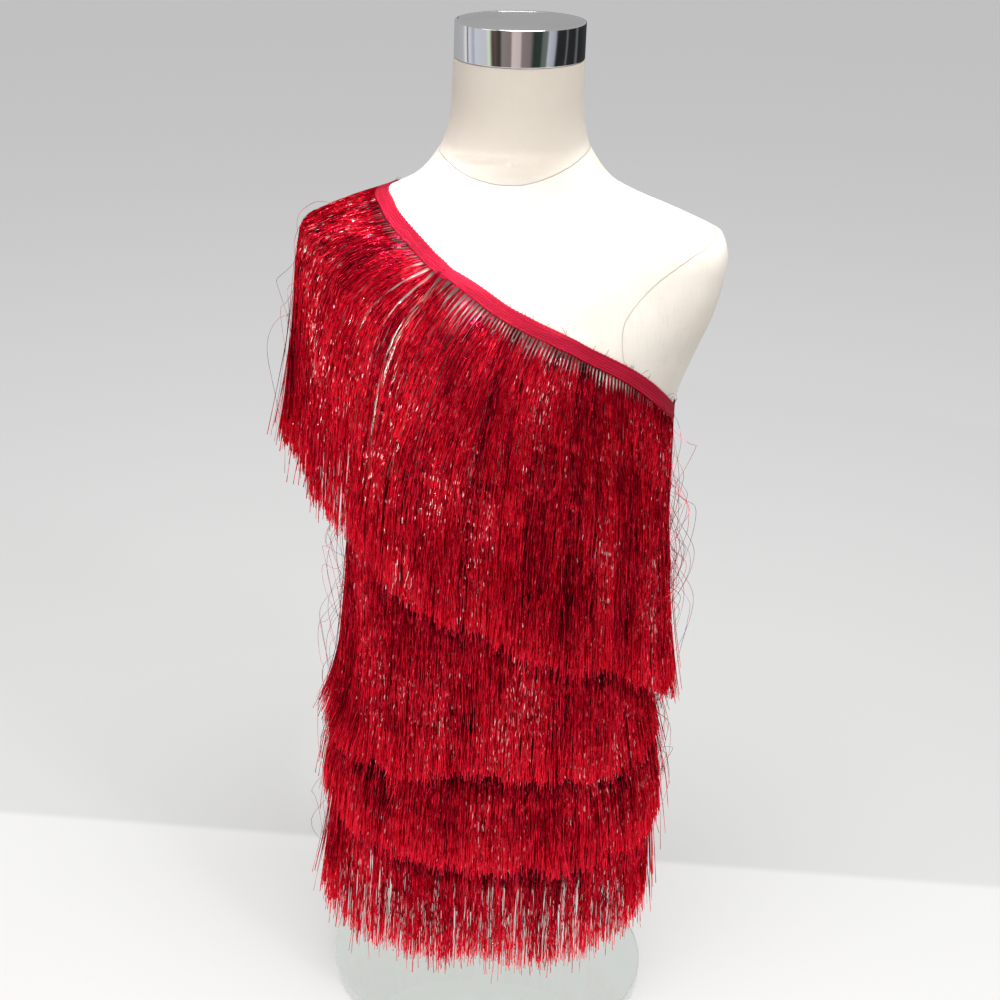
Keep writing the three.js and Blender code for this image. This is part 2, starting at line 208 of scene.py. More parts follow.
# %% The four rows of trim: angle, height of the tape's upper edge, drift in degrees, flare at the hem
LEVEL_ROWS = {
    "bust": [(0, 549, 0, 4), (38, 547, 0, 8), (90, 553, 0, 9), (180, 549, 0, 19), (213, 541, 0, 10),
             (238, 556, 0, 10), (298, 554.5, 0, 10), (322, 547, 0, 8), (360, 549, 0, 4)],
    "waist": [(0, 468, 0, 7), (90, 462, 0, 10), (180, 475, 0, 11), (270, 454, 0, 10),
             (360, 468, 0, 7)],
    "hip": [(0, 376, 0, 5), (38, 362, 0, 8), (90, 352, 0, 9), (142, 356, 0, 14), (180, 359, 0, 19),
             (206, 354, 0, 14), (240, 352, 0, 10), (270, 353.5, 0, 10), (300, 355, 0, 10),
             (322, 362, 0, 8), (342, 371, 0, 6), (360, 376, 0, 5)],
}
SHOULDER_ROW = [
    (0, 596, 0, 21), (10, 600, 0, 19), (20, 613, 0, 14), (39, 650, 2, 9), (51, 666, 9, 9),
    (62, 677, 16, 8), (89, 698, 25, 8), (105, 713, 27, 8), (122, 727, 32, 8), (145, 755.5, 22, 9),
    (152, 761.5, 17, 12), (165, 768.5, 9, 18), (180, 770, 0, 21), (195, 768.5, -9, 18),
    (208, 761.5, -17, 12), (215, 755.5, -22, 9), (238, 727, -32, 9), (255, 712, -27, 9),
    (271, 698, -25, 8), (298, 677, -16, 8), (309, 666, -9, 9), (321, 650, -2, 9), (340, 613, 0, 14),
    (350, 600, 0, 19), (360, 596, 0, 21),
]
ROWS = {name: np.array(path) for name, path in LEVEL_ROWS.items()}
ROWS = {"shoulder": np.array(SHOULDER_ROW), **ROWS}
TOP, DRIFT, FLARE = 1, 2, 3
STRETCHES = {"back": (0, 180), "front": (180, 360)}

# %% Settle the surface that each row hangs over
GRID_TURN = 1.5
GRID_STEP = 2.5
GRID_TOP = 900
LAYER_GAP = 5
LAYER_SLOPE = 0.25


def grid_radius(grid, angle, z):
    across = np.mod(angle, 360) / GRID_TURN
    up = np.clip(z, 0, GRID_TOP) / GRID_STEP
    column = np.floor(across).astype(int) % len(grid)
    level = np.minimum(np.floor(up).astype(int), grid.shape[1] - 2)
    beside = (column + 1) % len(grid)
    share = across - np.floor(across)
    low = grid[column, level] * (1 - share) + grid[beside, level] * share
    high = grid[column, level + 1] * (1 - share) + grid[beside, level + 1] * share
    return low + (high - low) * (up - level)


def settle(path, under_path, under_grid):
    angle = np.arange(0, 360, GRID_TURN)[:, None]
    z = np.arange(0, GRID_TOP + GRID_STEP, GRID_STEP)[None, :]
    form = form_radius(angle, z)
    covered = z <= curve_at(path, TOP, angle)
    lies = form
    if under_grid is not None:
        under_top = curve_at(under_path, TOP, angle)
        under = grid_radius(under_grid, angle, np.minimum(z, under_top)) + LAYER_GAP
        lies = np.maximum(lies, under - LAYER_SLOPE * np.maximum(0, z - under_top))
    from_top = np.where(covered, lies, 0)[:, ::-1]
    hanging = np.maximum.accumulate(from_top, axis=1)[:, ::-1]
    return np.where(covered, hanging, form)


grids = {}
under_name = None
for name in reversed(ROWS):
    grids[name] = settle(ROWS[name], ROWS.get(under_name), grids.get(under_name))
    under_name = name
    print(name, "hangs at up to", round(float(grids[name][:, 0].max()), 1), "mm from the axis")

# %% Walk the strands' ways down that surface
WAY_TURN = 1
MARCH = 3
WAY_LENGTH = 320
BEND = 60
SLOPE_TURN = 1.5
SLOPE_CLIMB = 2
LEAST_SQUARE = 0.6


def unit(vectors):
    return vectors / np.maximum(np.linalg.norm(vectors, axis=-1, keepdims=True), 1e-12)


def dot(first, second):
    return (first * second).sum(axis=-1)


def slopes_at(radius_at, angle, z):
    """A surface's slopes round and up, and its outward direction."""
    def at(a, h):
        return around(radius_at(a, h), a, h)
    across = (at(angle + SLOPE_TURN, z) - at(angle - SLOPE_TURN, z)) / (2 * SLOPE_TURN)
    up = (at(angle, z + SLOPE_CLIMB) - at(angle, z - SLOPE_CLIMB)) / (2 * SLOPE_CLIMB)
    return across, up, unit(np.cross(across, up))


def edge_of(path, radius_at, angle):
    """The tape's upper edge at each angle."""
    top = curve_at(path, TOP, np.mod(angle, 360))
    return around(radius_at(angle, top), angle, top)


def walk_ways(path, grid):
    def radius_at(angle, z):
        return grid_radius(grid, angle, z)

    root = np.arange(0, 360, WAY_TURN).astype(float)
    drift = curve_at(path, DRIFT, root)
    z = curve_at(path, TOP, root)
    places = []
    outs = []
    for gone in np.arange(0, WAY_LENGTH, MARCH):
        here = root + drift * (1 - np.exp(-gone / BEND))
        next_angle = root + drift * (1 - np.exp(-(gone + MARCH) / BEND))
        across, up, out = slopes_at(radius_at, here, z)
        places.append(around(radius_at(here, z), here, z))
        outs.append(out)
        sideways = across * (next_angle - here)[:, None]
        along = dot(sideways, up)
        steep = dot(up, up)
        left = along ** 2 - steep * (dot(sideways, sideways) - MARCH ** 2)
        z = z - (along + np.sqrt(np.maximum(left, 0))) / steep
    places = np.stack(places, axis=1)
    outs = np.stack(outs, axis=1)
    run = unit(edge_of(path, radius_at, root + 1) - edge_of(path, radius_at, root - 1))
    square = unit(np.cross(run, outs[:, 0]))
    start = unit(places[:, 1] - places[:, 0])
    slant = 1 / np.maximum(dot(start, square), LEAST_SQUARE)
    spacing = np.linalg.norm(np.roll(places, -1, axis=0) - places, axis=-1) / WAY_TURN
    return np.concatenate([places, outs, spacing[:, :, None]], axis=2), slant


ways = {}
slants = {}
for name, path in ROWS.items():
    ways[name], slants[name] = walk_ways(path, grids[name])
    print(name, "ways", ways[name].shape)


def on_way(name, root, gone):
    """Place, outward direction and millimetres to a degree, at root angles and lengths from the tape's
    upper edge."""
    table = ways[name]
    across = np.mod(root, 360) / WAY_TURN
    column = np.floor(across).astype(int) % len(table)
    beside = (column + 1) % len(table)
    share = (across - np.floor(across))[..., None]
    down = gone / MARCH
    step = np.clip(np.floor(down).astype(int), 0, table.shape[1] - 2)
    part = (down - step)[..., None]
    first = table[column, step] * (1 - share) + table[beside, step] * share
    second = table[column, step + 1] * (1 - share) + table[beside, step + 1] * share
    both = first + (second - first) * part
    return both[..., :3], unit(both[..., 3:6]), both[..., 6]


def slant_at(name, root):
    return np.interp(np.mod(root, 360), np.arange(0, 361, WAY_TURN),
                     np.append(slants[name], slants[name][0]))


# %% Measure along a row's tape
RUN_STEP = 0.25


def run_of(name, stretch):
    """Angles along one stretch of a row's tape, and the length of tape up to each."""
    start, end = STRETCHES[stretch]
    angle = np.linspace(start, end, int((end - start) / RUN_STEP) + 1)
    top = curve_at(ROWS[name], TOP, angle)
    edge = around(form_radius(angle, top), angle, top)
    steps = np.linalg.norm(np.diff(edge, axis=0), axis=1)
    return angle, np.concatenate(([0], np.cumsum(steps)))


for name in ROWS:
    for stretch in STRETCHES:
        print(name, stretch, "tape", round(float(run_of(name, stretch)[1][-1])), "mm")

# %% [markdown]
# ## Small helpers for making meshes
#
# A form, a cap or a plate starts from a primitive and is shaped with edit tools. Strands repeat by the
# thousand, so they are made straight from arrays of points. Both kinds end as a mesh whose object sits
# at the origin, and rides on the frame's one body.

# %% Make a mesh from arrays, and work on a primitive
def mesh_piece(name, points, quads, triangles, smooth=False):
    """A piece from points in millimetres, four-sided faces and three-sided ones."""
    mesh = bpy.data.meshes.new(name)
    corners = np.concatenate([quads.ravel(), triangles.ravel()])
    starts = np.concatenate([np.arange(len(quads)) * 4,
                             len(quads) * 4 + np.arange(len(triangles)) * 3])
    mesh.vertices.add(len(points))
    mesh.vertices.foreach_set("co", (points * MM).astype(np.float32).ravel())
    mesh.loops.add(len(corners))
    mesh.loops.foreach_set("vertex_index", corners.astype(np.int32))
    mesh.polygons.add(len(starts))
    mesh.polygons.foreach_set("loop_start", starts.astype(np.int32))
    mesh.polygons.foreach_set("use_smooth", np.full(len(starts), smooth))
    mesh.update(calc_edges=True)
    piece = bpy.data.objects.new(name, mesh)
    bpy.context.scene.collection.objects.link(piece)
    return piece


def give_numbers(piece, name, values):
    """One number for each of the piece's points, which a finish can read by name."""
    attribute = piece.data.attributes.new(name, "FLOAT", "POINT")
    attribute.data.foreach_set("value", values.astype(np.float32).ravel())


def give_uv(piece, across, along):
    """A map in millimetres for each point: across the weave, and along it."""
    flat = piece.data.uv_layers.new(name="weave")
    corner = np.zeros(len(piece.data.loops), np.int32)
    piece.data.loops.foreach_get("vertex_index", corner)
    flat.data.foreach_set("uv", np.stack([across[corner], along[corner]], axis=1).ravel())


def points_of(piece):
    """A piece's points in millimetres."""
    flat = np.zeros(len(piece.data.vertices) * 3)
    piece.data.vertices.foreach_get("co", flat)
    return flat.reshape(-1, 3) / MM


def start_piece(name):
    """Names the primitive that was just added, and leaves it alone selected."""
    piece = bpy.context.object
    piece.name = name
    piece.data.name = name
    return piece


def edit(piece, kind, chosen):
    """Opens a piece in edit mode with only the edges or faces of these numbers selected."""
    bpy.ops.object.select_all(action="DESELECT")
    piece.select_set(True)
    bpy.context.view_layer.objects.active = piece
    bpy.ops.object.mode_set(mode="EDIT")
    bpy.ops.mesh.select_mode(type=kind)
    bpy.ops.mesh.select_all(action="DESELECT")
    bpy.ops.object.mode_set(mode="OBJECT")
    parts = piece.data.edges if kind == "EDGE" else piece.data.polygons
    flags = np.zeros(len(parts), bool)
    flags[list(chosen)] = True
    parts.foreach_set("select", flags)
    for number in {corner for n in chosen for corner in parts[n].vertices}:
        piece.data.vertices[number].select = True
    bpy.ops.object.mode_set(mode="EDIT")


def settle_place(piece):
    """Puts a piece's place into its mesh, so that its object sits at the origin."""
    bpy.ops.object.mode_set(mode="OBJECT")
    bpy.ops.object.select_all(action="DESELECT")
    piece.select_set(True)
    bpy.context.view_layer.objects.active = piece
    bpy.ops.object.transform_apply(location=True, rotation=True, scale=True)
    return piece


# %% [markdown]
# ## Mixing finishes
#
# A finish is a small sum: colour, gloss and relief that change over the surface. So that a sum can be
# written as a sum, the class below wraps one socket, and adds a Math node for each operator. Colours
# are mixed by Mix nodes, and every other node comes from the shop's one method.

# %% A class for sums on sockets, and a shop that adds nodes
class Wire:
    """One value in a finish, on which + - * and / add Math nodes."""

    def __init__(self, shop, socket):
        self.shop = shop
        self.socket = socket

    def sum_of(self, operation, first, second):
        return self.shop.node("Math", {"operation": operation}, {0: first, 1: second})

    def __add__(self, other):
        return self.sum_of("ADD", self, other)

    def __radd__(self, other):
        return self.sum_of("ADD", other, self)

    def __sub__(self, other):
        return self.sum_of("SUBTRACT", self, other)

    def __rsub__(self, other):
        return self.sum_of("SUBTRACT", other, self)

    def __mul__(self, other):
        return self.sum_of("MULTIPLY", self, other)

    def __rmul__(self, other):
        return self.sum_of("MULTIPLY", other, self)

    def __truediv__(self, other):
        return self.sum_of("DIVIDE", self, other)

    def __rtruediv__(self, other):
        return self.sum_of("DIVIDE", other, self)


class Shop:
    """One finish while it is being mixed."""

    def __init__(self, name):
        self.finish = bpy.data.materials.new(name)
        self.finish.use_nodes = True
        self.tree = self.finish.node_tree
        self.tree.nodes.clear()

    def node(self, kind, settings=None, sockets=None, out=0):
        """Adds a node of a kind: its settings first, then the values or wires of its sockets."""
        node = self.tree.nodes.new("ShaderNode" + kind)
        for name, value in (settings or {}).items():
            if name == "stops":
                self.set_stops(node.color_ramp, value)
            else:
                setattr(node, name, value)
        for name, value in (sockets or {}).items():
            if isinstance(value, Wire):
                self.tree.links.new(value.socket, node.inputs[name])
            else:
                node.inputs[name].default_value = value
        return Wire(self, node.outputs[out]) if node.outputs else node

    def set_stops(self, ramp, stops):
        while len(ramp.elements) < len(stops):
            ramp.elements.new(1)
        for element, (place, colour) in zip(ramp.elements, stops):
            element.position = place
            element.color = (*colour, 1)

    def number(self, name):
        """A number that the mesh carries for each point."""
        return self.node("Attribute", {"attribute_name": name}, out="Fac")

    def vector(self, x, y, z=0.0):
        return self.node("CombineXYZ", None, {0: x, 1: y, 2: z})

    def map_of(self, name):
        """The two numbers of a map on the mesh, in millimetres."""
        flat = self.node("UVMap", {"uv_map": name})
        split = self.node("SeparateXYZ", None, {0: flat}).socket.node
        return Wire(self, split.outputs[0]), Wire(self, split.outputs[1])

    def place(self):
        """The point on the piece, in metres."""
        return self.node("TexCoord", out="Object")

    def noise(self, vector, scale, detail=2.0, rough=0.5):
        """Uneven values about one half, with no direction of their own."""
        sockets = {"Vector": vector, "Scale": scale, "Detail": detail, "Roughness": rough}
        return self.node("TexNoise", {"noise_dimensions": "3D"}, sockets)

    def one(self, kind, value):
        """A Math node with one value, such as SINE or ABSOLUTE."""
        return self.node("Math", {"operation": kind}, {0: value})

    def pinch(self, value, low, high):
        """0 below low and 1 above high, with a soft step between."""
        settings = {"interpolation_type": "SMOOTHSTEP"}
        return self.node("MapRange", settings, {0: value, 1: low, 2: high, 3: 0.0, 4: 1.0})

    def mix(self, amount, first, second):
        """Two colours, mixed."""
        first, second = [c if isinstance(c, Wire) else (*c, 1) for c in (first, second)]
        settings = {"data_type": "RGBA"}
        return self.node("Mix", settings, {0: amount, 6: first, 7: second}, out=2)

    def relief(self, height, depth):
        """A normal for a surface that stands up by height times depth, in metres."""
        return self.node("Bump", None, {"Height": height, "Distance": depth, "Strength": 1.0})

    def surface(self, **sockets):
        """The finish itself. A name's underscores stand for spaces."""
        named = {name.replace("_", " "): value for name, value in sockets.items()}
        bsdf = self.node("BsdfPrincipled", None, named)
        self.node("OutputMaterial", None, {"Surface": bsdf})
        return self.finish


# %% [markdown]
# ## Finishes
#
# Six finishes make the object. Tinsel is flat metal-coated film: it is a mirror cut into strips, so
# its colour matters less than how each strip turns and crinkles. The tape is matte ribbed weave. The
# form's cover is a fine off-white cloth with a thin line at each seam. The cap and pole are polished
# chrome, the cap's top is satin, and the plate is glass with a faint green tint.

# %% Tinsel: a metallic red with painted shade in folds and under each hem, painted highlights and glints, and a crinkle along each strand
def mix_tinsel():
    shop = Shop("red tinsel")
    tone = shop.number("tone")
    along = shop.number("along")
    # Painted shade under the hem of the row above: cover is 1 there and fades out about 30 mm lower. It
    # darkens the strands and keeps painted highlights and glints off them.
    cover = 1 - shop.pinch(shop.number("under"), -4.0, 30.0)
    own = tone * 730.0
    split = shop.node("SeparateXYZ", None, {0: shop.place()}).socket.node
    wide, deep_in, high = [Wire(shop, split.outputs[n]) for n in range(3)]
    # Painted light and shade in broad patches over the fringe. The same patches bunch the painted glints.
    light_patch = shop.noise(shop.vector(wide * 26.0, deep_in * 26.0, high * 9.0), 1.0, 2.0)
    # Painted shade along each strand where it folds away.
    fold_shade = shop.noise(shop.vector(own, along * 0.03, 3.0), 1.0, 1.0)
    crinkle = shop.noise(shop.vector(own, along * 0.08, 40.0), 1.0, 2.0, 0.55)
    flash = shop.noise(shop.vector(own, along * 0.1, 80.0), 1.0, 1.0)
    # Painted light: the strands are lighter near the hem's tips and carry more painted highlights there.
    tip_light = shop.pinch(along, 226.0, 268.0)
    # Painted shade just under the tape: no painted highlights there, and the darker strands turn near
    # black.
    root = 1 - shop.pinch(along, 13.0, 36.0)
    # deep is the dark wine of the darker strands and also the colour of painted shade. bright is a painted
    # highlight, and glint a painted glint.
    deep = (0.040, 0.0, 0.005)
    clear = (0.60, 0.003, 0.020)
    bright = (1.0, 0.022, 0.055)
    glint = (1.0, 0.56, 0.57)
    # From deep to clear: the strand's own tone, less painted shade in folds, patches and under the hem
    # above, and lighter at the tips.
    tone_and_shade = shop.pinch(fold_shade * 0.7 + light_patch * 0.28 + tone * 0.4 - cover * 0.32 + tip_light * 0.14, 0.40, 0.80)
    body = shop.mix(tone_and_shade, deep, clear)
    # Painted highlights: crinkles turn bright red, except in the painted shade under the hem and at the
    # roots.
    lit = shop.pinch(crinkle + (light_patch - 0.5) * 0.3 + tone * 0.06 + tip_light * 0.08, 0.50, 0.64)
    body = shop.mix(lit * (1 - cover * 0.8) * (1 - root), body, bright)
    # Painted shade at the roots: darker strands turn near black under the tape.
    body = shop.mix(root * (1 - shop.pinch(tone, 0.36, 0.5)), body, (0.02, 0.0, 0.004))
    # Painted glints: pale, less metallic flecks along the strands, bunched by the patches and fewer under
    # the hem above.
    painted_glint = shop.pinch(flash + (light_patch - 0.5) * 0.5 - cover * 0.08, 0.68, 0.77)
    return shop.surface(
        Base_Color=shop.mix(painted_glint, body, glint),
        Metallic=0.92 - painted_glint * 0.5,
        Roughness=0.18 + crinkle * 0.2,
        Specular_IOR_Level=0.2,
        Specular_Tint=(1.0, 0.35, 0.38, 1),
        Normal=shop.relief(crinkle, 0.0030),
    )


tinsel = mix_tinsel()

# %% Tape: matte crimson weave, with ribs along it and stitches across it
STITCH = 1.7
RIB = 2.0


def mix_tape():
    shop = Shop("crimson tape")
    across, along = shop.map_of("weave")
    rib = shop.one("ABSOLUTE", shop.one("SINE", across * (math.pi / RIB)))
    lean = along + across * 0.25
    stitch = shop.one("ABSOLUTE", shop.one("SINE", lean * (math.pi / STITCH)))
    fuzz = shop.noise(shop.vector(across * 2.0, along * 2.0), 1.0, 2.0)
    worn = shop.noise(shop.vector(across * 0.3, along * 0.02), 1.0, 2.0)
    height = rib * 0.5 + stitch * 0.5 + fuzz * 0.3
    dark = (0.08, 0.0, 0.005)
    clear = (0.33, 0.002, 0.020)
    faded = (0.46, 0.008, 0.04)
    shade = shop.pinch(rib * 0.6 + stitch * 0.5 + fuzz * 0.3, 0.2, 0.85)
    weave = shop.mix(shade, dark, shop.mix(shop.pinch(worn, 0.4, 0.7) * 0.5, clear, faded))
    return shop.surface(
        Base_Color=weave,
        Roughness=0.7 + fuzz * 0.2,
        Specular_IOR_Level=0.15,
        Normal=shop.relief(height, 0.0004),
    )


tape_finish = mix_tape()

# %% Cover cloth: cream, with fine upright threads and a thin line at each seam
def mix_cloth():
    shop = Shop("cream cover cloth")
    across, along = shop.map_of("weave")
    split = shop.node("SeparateXYZ", None, {0: shop.place()}).socket.node
    aside, behind, high = [Wire(shop, split.outputs[n]) for n in range(3)]

    def line(distance, wide):
        return 1 - shop.pinch(shop.one("ABSOLUTE", distance), wide * 0.35, wide)

    neck = shop.number("neck_seam")
    below_neck = 1 - shop.pinch(neck, -1.5, -0.5)
    below_arm = 1 - shop.pinch(high, 0.60, 0.62)
    sewn = line(neck, 0.8) + line(shop.number("arm_seam"), 0.7) * 0.8
    sewn = sewn + line(behind, 0.0006) * below_arm + line(aside, 0.0006) * below_neck * 0.22
    warp = shop.noise(shop.vector(across * 1.1, along * 0.05), 1.0, 2.0, 0.6)
    weft = shop.noise(shop.vector(across * 0.06, along * 1.2, 9.0), 1.0, 2.0, 0.6)
    thread = shop.one("SINE", across * (2 * math.pi / 0.9)) * shop.one("SINE", along * (2 * math.pi / 0.9))
    mottle = shop.noise(shop.place(), 22.0, 3.0)
    cloth = shop.mix(shop.pinch(mottle, 0.3, 0.7), (0.70, 0.64, 0.56), (0.75, 0.70, 0.63))
    # Painted shade: the cloth turns darker from just below the neck seam up the neck, which stands upright
    # under the cap.
    cloth = shop.mix(shop.pinch(neck, -6.0, 14.0) * 0.6, cloth, (0.46, 0.40, 0.33))
    cloth = shop.mix(shop.pinch(warp, 0.48, 0.72) * 0.16, cloth, (0.52, 0.45, 0.36))
    cloth = shop.mix(shop.pinch(weft, 0.52, 0.75) * 0.14, cloth, (0.52, 0.45, 0.36))
    cloth = shop.mix(shop.pinch(sewn, 0.0, 1.0) * 0.45, cloth, (0.30, 0.24, 0.19))
    height = warp * 0.6 + weft * 0.35 + thread * 0.15 - sewn * 1.2
    return shop.surface(
        Base_Color=cloth,
        Roughness=0.84 + warp * 0.12,
        Sheen_Weight=0.08,
        Normal=shop.relief(height, 0.0003),
    )


cloth_finish = mix_cloth()

# %% Polished cap and pole, its satin top, and the glass plate
def mix_chrome():
    shop = Shop("polished chrome")
    smear = shop.noise(shop.place(), 40.0, 3.0)
    scuff = shop.pinch(shop.noise(shop.place(), 160.0, 2.0), 0.62, 0.75)
    ripple = shop.noise(shop.place(), 14.0, 1.0)
    return shop.surface(
        Base_Color=shop.mix(smear * 0.3, (0.78, 0.79, 0.81), (0.68, 0.69, 0.71)),
        Metallic=1.0,
        Roughness=0.05 + smear * 0.05 + scuff * 0.08,
        Normal=shop.relief(ripple, 0.0022),
    )


def mix_satin():
    shop = Shop("satin metal top")
    grain = shop.noise(shop.place(), 900.0, 2.0)
    cloud = shop.noise(shop.place(), 30.0, 2.0)
    return shop.surface(
        Base_Color=shop.mix(cloud, (0.31, 0.305, 0.30), (0.38, 0.375, 0.37)),
        Metallic=0.85,
        Roughness=0.38 + grain * 0.15,
        Normal=shop.relief(grain, 0.00005),
    )


def mix_glass():
    shop = Shop("green-tinted glass")
    dust = shop.noise(shop.place(), 16.0, 3.0)
    return shop.surface(
        Base_Color=(0.94, 0.98, 0.96, 1),
        Roughness=0.02 + dust * 0.03,
        IOR=1.5,
        Transmission_Weight=1.0,
    )


chrome_finish = mix_chrome()
satin_finish = mix_satin()
plate_finish = mix_glass()
finishes = [tinsel, tape_finish, cloth_finish, chrome_finish, satin_finish, plate_finish]
print("finishes", [finish.name for finish in finishes])

# %% [markdown]
# ## The padded form
#
# The real form is a shell of foam with a cover sewn from shaped panels, stretched tight. A tight cover
# has no folds, so no cloth simulation is needed: it is a smooth body with a shallow dip along each
# seam. It starts as a cylinder, its upright edges are cut into rings, and each point is then moved
# out to the drafted section at its height.

# %% Add a cylinder and cut it into rings
FORM_SIDES = 256
FORM_BANDS = [(150, 164, 4), (164, 560, 50), (560, 780, 74), (780, 824, 26), (824, 879, 18)]
FORM_CREASE = 40
SEAM_DEPTH = 0.45
SEAM_WIDTH = 1.9
WEAVE_RADIUS = 110
BACK_MIDDLE = 90


def ring_heights():
    bands = [np.linspace(low, high, steps + 1)[1:] for low, high, steps in FORM_BANDS]
    return np.concatenate([[FORM_BANDS[0][0]], *bands])


def cut_cylinder(name, heights):
    """A cylinder with one ring of points for each height, evenly spaced for now."""
    height = (heights[-1] - heights[0]) * MM
    middle = (heights[-1] + heights[0]) / 2 * MM
    bpy.ops.object.select_all(action="DESELECT")
    bpy.ops.mesh.primitive_cylinder_add(
        vertices=FORM_SIDES, radius=0.1, depth=height, location=(0, 0, middle), end_fill_type="TRIFAN")
    piece = start_piece(name)
    points = points_of(piece)
    upright = [edge.index for edge in piece.data.edges
               if abs(points[edge.vertices[0]][2] - points[edge.vertices[1]][2]) > 1]
    edit(piece, "EDGE", upright)
    bpy.ops.mesh.subdivide(number_cuts=len(heights) - 2)
    return settle_place(piece)


heights = ring_heights()
form = cut_cylinder("padded_form", heights)
print("form", len(form.data.vertices), "points in", len(heights), "rings")

# %% Move every point out to the drafted section, with a dip at the seams
NECK_SEAM = np.array([
    (0, 810), (22, 813), (90, 817), (158, 813), (180, 808), (192, 804.5), (211, 801), (223, 797),
    (235, 793), (248, 790), (262, 788.3), (275, 788.6), (288, 791), (301, 795), (318, 801),
    (338, 807), (360, 810),
])
ARM_SEAM = np.array([
    (560, 200), (590, 158), (612, 126), (640, 103), (662, 95.2), (676, 94.2), (684.5, 95.2),
    (692.3, 98.6), (701.3, 104.8), (710.1, 112.6), (717.6, 120.8), (724.5, 130.2), (732.2, 142.6),
    (738.2, 155), (742, 168), (746, 190), (900, 190),
])


def seam_distances(x, z, angle):
    """How far a point of the cover is above the neck seam, and outside the armhole seam."""
    neck = z - curve_at(NECK_SEAM, 1, angle)
    slope = (curve_at(ARM_SEAM, 1, z + 1) - curve_at(ARM_SEAM, 1, z - 1)) / 2
    arm = (np.abs(x) - curve_at(ARM_SEAM, 1, z)) / np.sqrt(1 + slope ** 2)
    return neck, arm


def shape_form(piece):
    points = points_of(piece)
    spread = np.linspace(heights[0], heights[-1], len(heights))
    z = np.interp(points[:, 2], spread, heights)
    centre = np.hypot(points[:, 0], points[:, 1]) < 1
    turn = np.arctan2(points[:, 1], points[:, 0])
    depth = np.where(np.sin(turn) < 0, curve_at(FORM, FRONT, z), curve_at(FORM, BACK, z))
    wide = curve_at(FORM, SIDE, z)
    angle = np.mod(np.degrees(np.arctan2(depth * np.sin(turn), wide * np.cos(turn))), 360)
    radius = np.where(centre, 0, form_radius(angle, z))
    placed = around(radius, angle, z)
    neck, arm = seam_distances(placed[:, 0], z, angle)
    dip = np.exp(-(neck / SEAM_WIDTH) ** 2) + np.exp(-(arm / SEAM_WIDTH) ** 2)
    placed = around(np.where(centre, 0, radius - SEAM_DEPTH * dip), angle, z)
    piece.data.vertices.foreach_set("co", (placed * MM).ravel())
    for polygon in piece.data.polygons:
        polygon.use_smooth = True
    give_numbers(piece, "neck_seam", neck)
    give_numbers(piece, "arm_seam", arm)
    give_uv(piece, np.radians(np.abs(angle - BACK_MIDDLE)) * WEAVE_RADIUS, z)
    piece.data.update()


shape_form(form)
bpy.ops.object.shade_smooth_by_angle(angle=math.radians(FORM_CREASE))
form.data.materials.append(cloth_finish)
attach(form, "root")
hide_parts("torso")
print("form shaped to", [round(x) for x in points_of(form).max(axis=0)])

# %% [markdown]
# ## The neck cap
#
# The cap is a polished band with a satin disc let into its top. It starts as a cylinder: the top face
# is inset for the band's rim and for the disc, the disc is sunk a little, and the rim's edges are
# bevelled so that they catch a thin bright line.

# %% Shape the cap from a cylinder
CAP_RADIUS = 52.5
CAP_BOTTOM = 879.3
CAP_TOP = 909
CAP_SIDES = 128
RIM = 1.6
RIM_DOWN = 0.6
LIP = 0.3
DISC_SINK = 0.6
DISC_DOME = [(16, 0.7), (20, 0.35)]
CAP_EDGE = 0.9
CREASE = 35


def faces_where(piece, test):
    return [face.index for face in piece.data.polygons if test(face)]


def edges_where(piece, test):
    points = points_of(piece)
    return [edge.index for edge in piece.data.edges
            if test(points[edge.vertices[0]], points[edge.vertices[1]])]


def round_piece(name, radius, low, high, sides):
    """An upright cylinder between two heights, in millimetres."""
    bpy.ops.object.select_all(action="DESELECT")
    bpy.ops.mesh.primitive_cylinder_add(
        vertices=sides, radius=radius * MM, depth=(high - low) * MM,
        location=(0, 0, (high + low) / 2 * MM), end_fill_type="NGON")
    return settle_place(start_piece(name))


def bevel_rings(piece, rings, width, segments):
    """Rounds the level rings of edges at these radii and heights."""
    def on_ring(first, second):
        for radius, height in rings:
            ends = [math.hypot(p[0], p[1]) for p in (first, second)]
            near = all(abs(end - radius) < 0.2 for end in ends)
            if near and abs(first[2] - height) < 0.05 and abs(second[2] - height) < 0.05:
                return True
        return False
    edit(piece, "EDGE", edges_where(piece, on_ring))
    bpy.ops.mesh.bevel(offset=width * MM, segments=segments, affect="EDGES")
    bpy.ops.object.mode_set(mode="OBJECT")


def finish_round(piece):
    bpy.ops.object.select_all(action="DESELECT")
    piece.select_set(True)
    bpy.context.view_layer.objects.active = piece
    bpy.ops.object.shade_smooth_by_angle(angle=math.radians(CREASE))


def shape_cap():
    rim_top = CAP_TOP - RIM_DOWN
    cap = round_piece("polished_cap", CAP_RADIUS, CAP_BOTTOM, rim_top, CAP_SIDES)
    edit(cap, "FACE", faces_where(cap, lambda face: face.normal.z > 0.9))
    bpy.ops.mesh.inset(thickness=RIM * MM)
    bpy.ops.mesh.inset(thickness=LIP * MM)
    bpy.ops.transform.translate(value=(0, 0, -DISC_SINK * MM))
    for inset, rise in DISC_DOME:
        bpy.ops.mesh.inset(thickness=inset * MM)
        bpy.ops.transform.translate(value=(0, 0, rise * MM))
    bpy.ops.object.mode_set(mode="OBJECT")
    bevel_rings(cap, [(CAP_RADIUS, rim_top), (CAP_RADIUS, CAP_BOTTOM)], CAP_EDGE, 4)
    finish_round(cap)
    cap.data.materials.append(chrome_finish)
    cap.data.materials.append(satin_finish)
    for face in cap.data.polygons:
        inside = math.hypot(face.center.x, face.center.y) < (CAP_RADIUS - RIM - 0.2) * MM
        if face.normal.z > 0.5 and (inside or len(face.vertices) > 4):
            face.material_index = 1
    return cap


